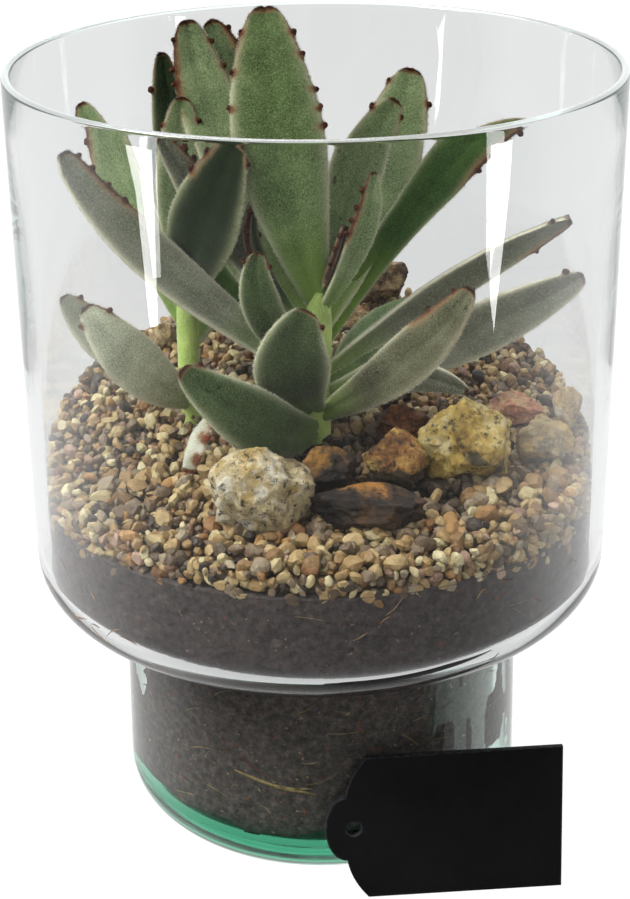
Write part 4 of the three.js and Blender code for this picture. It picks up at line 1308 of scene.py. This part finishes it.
def build_tag():
    """The tag's rings joined into one closed surface, leant back and turned about Z."""
    outline = tag_outline()
    ray = unit(outline - [TAG_HOLE_LEFT, TAG_HEIGHT / 2])
    ring = np.array([TAG_HOLE_LEFT, TAG_HEIGHT / 2]) + ray * TAG_HOLE_RADIUS
    rings, edges = [], []
    for share, inset, depth, edge in tag_rings():
        flat = ring + (outline - ring) * share - ray * inset
        rings.append(np.column_stack([flat, np.full(len(flat), -depth)]))
        edges.append(np.full(len(flat), edge))
    across, up, out = np.moveaxis(np.stack(rings), -1, 0)
    tilt = math.pi / 2 - TAG_LEAN
    back = up * math.cos(tilt) - out * math.sin(tilt)
    z = up * math.sin(tilt) + out * math.cos(tilt)
    x = across * math.cos(TAG_TURN) - back * math.sin(TAG_TURN)
    y = across * math.sin(TAG_TURN) + back * math.cos(TAG_TURN)
    points = np.stack([x, y, z - z.min()], -1) + TAG_CORNER
    rows, columns, _ = points.shape
    add_piece("bare_tag", points.reshape(-1, 3), [grid_faces(rows, columns, round_rows=True)], board_finish(),
              ["plain_tag"], {"edge": np.concatenate(edges)}, flat=True)


# ---- The studio -----------------------------------------------------------------------------------

# What the surround gives in front, to a surface that mirrors it and to what looks through the glass
FRONT_MIRRORED, FRONT_THROUGH_GLASS = 0.07, 0.95
# What it gives to soft surfaces, from below and from above
LIGHT_LOW, LIGHT_HIGH = 0.03, 0.3
# How bright the floor is to the camera, through the glass, and mirrored in it
FLOOR_SEEN, FLOOR_THROUGH_GLASS, FLOOR_MIRRORED = 1.12, 0.88, 0.15
FLOOR_HALF, FLOOR_DROP = 4000, 0.2  # half its side, and how far it lies under the jar
PANE_LIGHT = 14.0
PANES = {
    "left_pane": [(-371.0, -197.5, 191.7), (-331.8, -257.6, 192.0), (-337.7, -249.7, 77.4),
                  (-350.7, -231.1, 76.5)],
    "right_pane": [(347.4, -236.1, 190.8), (376.7, -184.8, 190.8), (378.2, -183.0, 139.3),
                   (362.8, -211.6, 69.6), (355.2, -224.2, 86.7)],
}
# Each lamp: its middle, the side of its square, and its power in watts
LAMPS = {"key_lamp": ((-560, -260, 800), 320, 6.4), "top_lamp": ((-200, 350, 1200), 700, 8.0)}
LAMP_AIM = np.array([0, 0, 150])


def stage_piece(name, corners, finish):
    """One flat face that belongs to the studio, not to the object."""
    mesh = bpy.data.meshes.new(name)
    mesh.from_pydata([tuple(c * MM for c in p) for p in corners], [], [tuple(range(len(corners)))])
    mesh.materials.append(finish)
    piece = bpy.data.objects.new(name, mesh)
    bpy.context.scene.collection.objects.link(piece)
    return piece


def floor_finish():
    """A pale floor that shines white for what looks at it, through the glass too, and takes shadows."""
    f = Finish("pale_floor")
    f.set(Base_Color=(0.7, 0.7, 0.7, 1), Roughness=0.9, Specular_IOR_Level=0.0)
    path = f.node("ShaderNodeLightPath")
    seen = f.maths("MAXIMUM", path.outputs["Is Camera Ray"], path.outputs["Is Transmission Ray"])
    behind = f.step(f.along("Y"), -0.3, 0.0, FLOOR_MIRRORED, FLOOR_THROUGH_GLASS)
    through = f.between(path.outputs["Glossy Depth"], FLOOR_THROUGH_GLASS, behind)
    bright = f.between(path.outputs["Is Camera Ray"], through, FLOOR_SEEN)
    white = f.node("ShaderNodeEmission", Color=(1, 1, 1, 1))
    f.feed(bright, white.inputs["Strength"])
    f.surface(f.maths("MULTIPLY", seen, 0.9), f.shader.outputs["BSDF"], white.outputs[0])
    return f.material


def mirrored_glow(name, strength):
    """Light that only shows in a mirroring surface; what looks straight at it looks through it."""
    f = Finish(name)
    path = f.node("ShaderNodeLightPath")
    clear = f.node("ShaderNodeBsdfTransparent")
    lamp = f.node("ShaderNodeEmission", Strength=strength)
    f.surface(f.step(path.outputs["Glossy Depth"], 0.0, 1.0), clear.outputs["BSDF"], lamp.outputs[0])
    return f.material


def build_surround():
    """White for what looks at it, dim for diffuse light, and darker in front for what mirrors it."""
    world = bpy.data.worlds.new("studio")
    bpy.context.scene.world = world
    world.use_nodes = True
    w = Wiring(world.node_tree)
    background = w.nodes["Background"]
    background.inputs["Color"].default_value = (1, 1, 1, 1)
    way = w.node("ShaderNodeSeparateXYZ")
    w.feed(w.node("ShaderNodeTexCoord").outputs["Generated"], way.inputs[0])
    path = w.node("ShaderNodeLightPath")
    front = w.step(path.outputs["Glossy Depth"], 0.0, 1.0, FRONT_THROUGH_GLASS, FRONT_MIRRORED)
    round_about = w.step(way.outputs["Y"], -0.55, 0.3, front, 1.0, "SMOOTHSTEP")
    seen = w.between(path.outputs["Is Camera Ray"], round_about, 1.0)
    above = w.step(way.outputs["Z"], -0.2, 1.0, LIGHT_LOW, LIGHT_HIGH)
    lit = w.between(path.outputs["Is Diffuse Ray"], seen, above)
    w.feed(lit, background.inputs["Strength"])


def build_studio():
    """A pale floor, a white surround that is dim in front, soft lamps, and panes that only show as glints."""
    corners = [(x * FLOOR_HALF, y * FLOOR_HALF, -FLOOR_DROP) for x, y in ((-1, -1), (1, -1), (1, 1), (-1, 1))]
    ground = stage_piece("floor", corners, floor_finish())
    ground.visible_glossy = False
    for name, corners in PANES.items():
        pane = stage_piece(name, corners, mirrored_glow(name, PANE_LIGHT))
        pane.visible_camera = False
        pane.visible_diffuse = False
        pane.visible_shadow = False
    build_surround()
    for name, (place, size, power) in LAMPS.items():
        lamp = bpy.data.lights.new(name, "AREA")
        lamp.shape, lamp.size, lamp.energy = "SQUARE", size * MM, power
        holder = bpy.data.objects.new(name, lamp)
        holder.location = [c * MM for c in place]
        x, y, z = LAMP_AIM - place
        holder.rotation_euler = (math.atan2(math.hypot(x, y), -z), 0, math.atan2(-x, y))
        bpy.context.scene.collection.objects.link(holder)


# Fitted to the outline of the jar in the photograph
CAMERA_PLACE = (-1.39, -563.68, 379.79)
CAMERA_DOWN, CAMERA_ROLL = 0.4232, -0.0115  # how far it looks down and is rolled, in radians
CAMERA_LENS, CAMERA_SENSOR = 74.25, 36.0


def build_camera():
    """The photograph's place: in front, above the rim, looking down on the plant."""
    camera = bpy.data.cameras.new("camera")
    camera.lens, camera.sensor_width = CAMERA_LENS, CAMERA_SENSOR
    camera.clip_start, camera.clip_end = 0.01, 20
    holder = bpy.data.objects.new("camera", camera)
    bpy.context.scene.collection.objects.link(holder)
    cos, sin = math.cos(CAMERA_DOWN), math.sin(CAMERA_DOWN)
    level, up, forward = np.array([1.0, 0, 0]), np.array([0, sin, cos]), np.array([0, cos, -sin])
    cos, sin = math.cos(CAMERA_ROLL), math.sin(CAMERA_ROLL)
    turn = np.eye(4)
    turn[:3, 0] = cos * level + sin * up
    turn[:3, 1] = cos * up - sin * level
    turn[:3, 2] = -forward
    turn[:3, 3] = np.array(CAMERA_PLACE) * MM
    holder.matrix_world = Matrix(turn.tolist())
    bpy.context.scene.camera = holder


LIGHT_BOUNCES, CLEAR_BOUNCES = 1000, 16  # thick glass in front of glass needs many
SEED = 7


def main():
    """The camera and the studio, then the pieces.

    One row of random draws runs through the fibres, the gravel and the leaves; each rock has its own.
    """
    draw = np.random.default_rng(SEED)
    build_camera()
    build_studio()
    build_jar()
    build_soil()
    build_fibres(draw)
    build_gravel_bed()
    build_gravel(draw)
    build_rocks()
    build_stems()
    build_leaves(draw)
    build_tag()
    scene = bpy.context.scene
    scene.view_settings.view_transform = "Standard"
    scene.cycles.max_bounces = LIGHT_BOUNCES
    scene.cycles.transmission_bounces = LIGHT_BOUNCES
    scene.cycles.transparent_max_bounces = CLEAR_BOUNCES
    scene.cycles.glossy_bounces = LIGHT_BOUNCES


main()
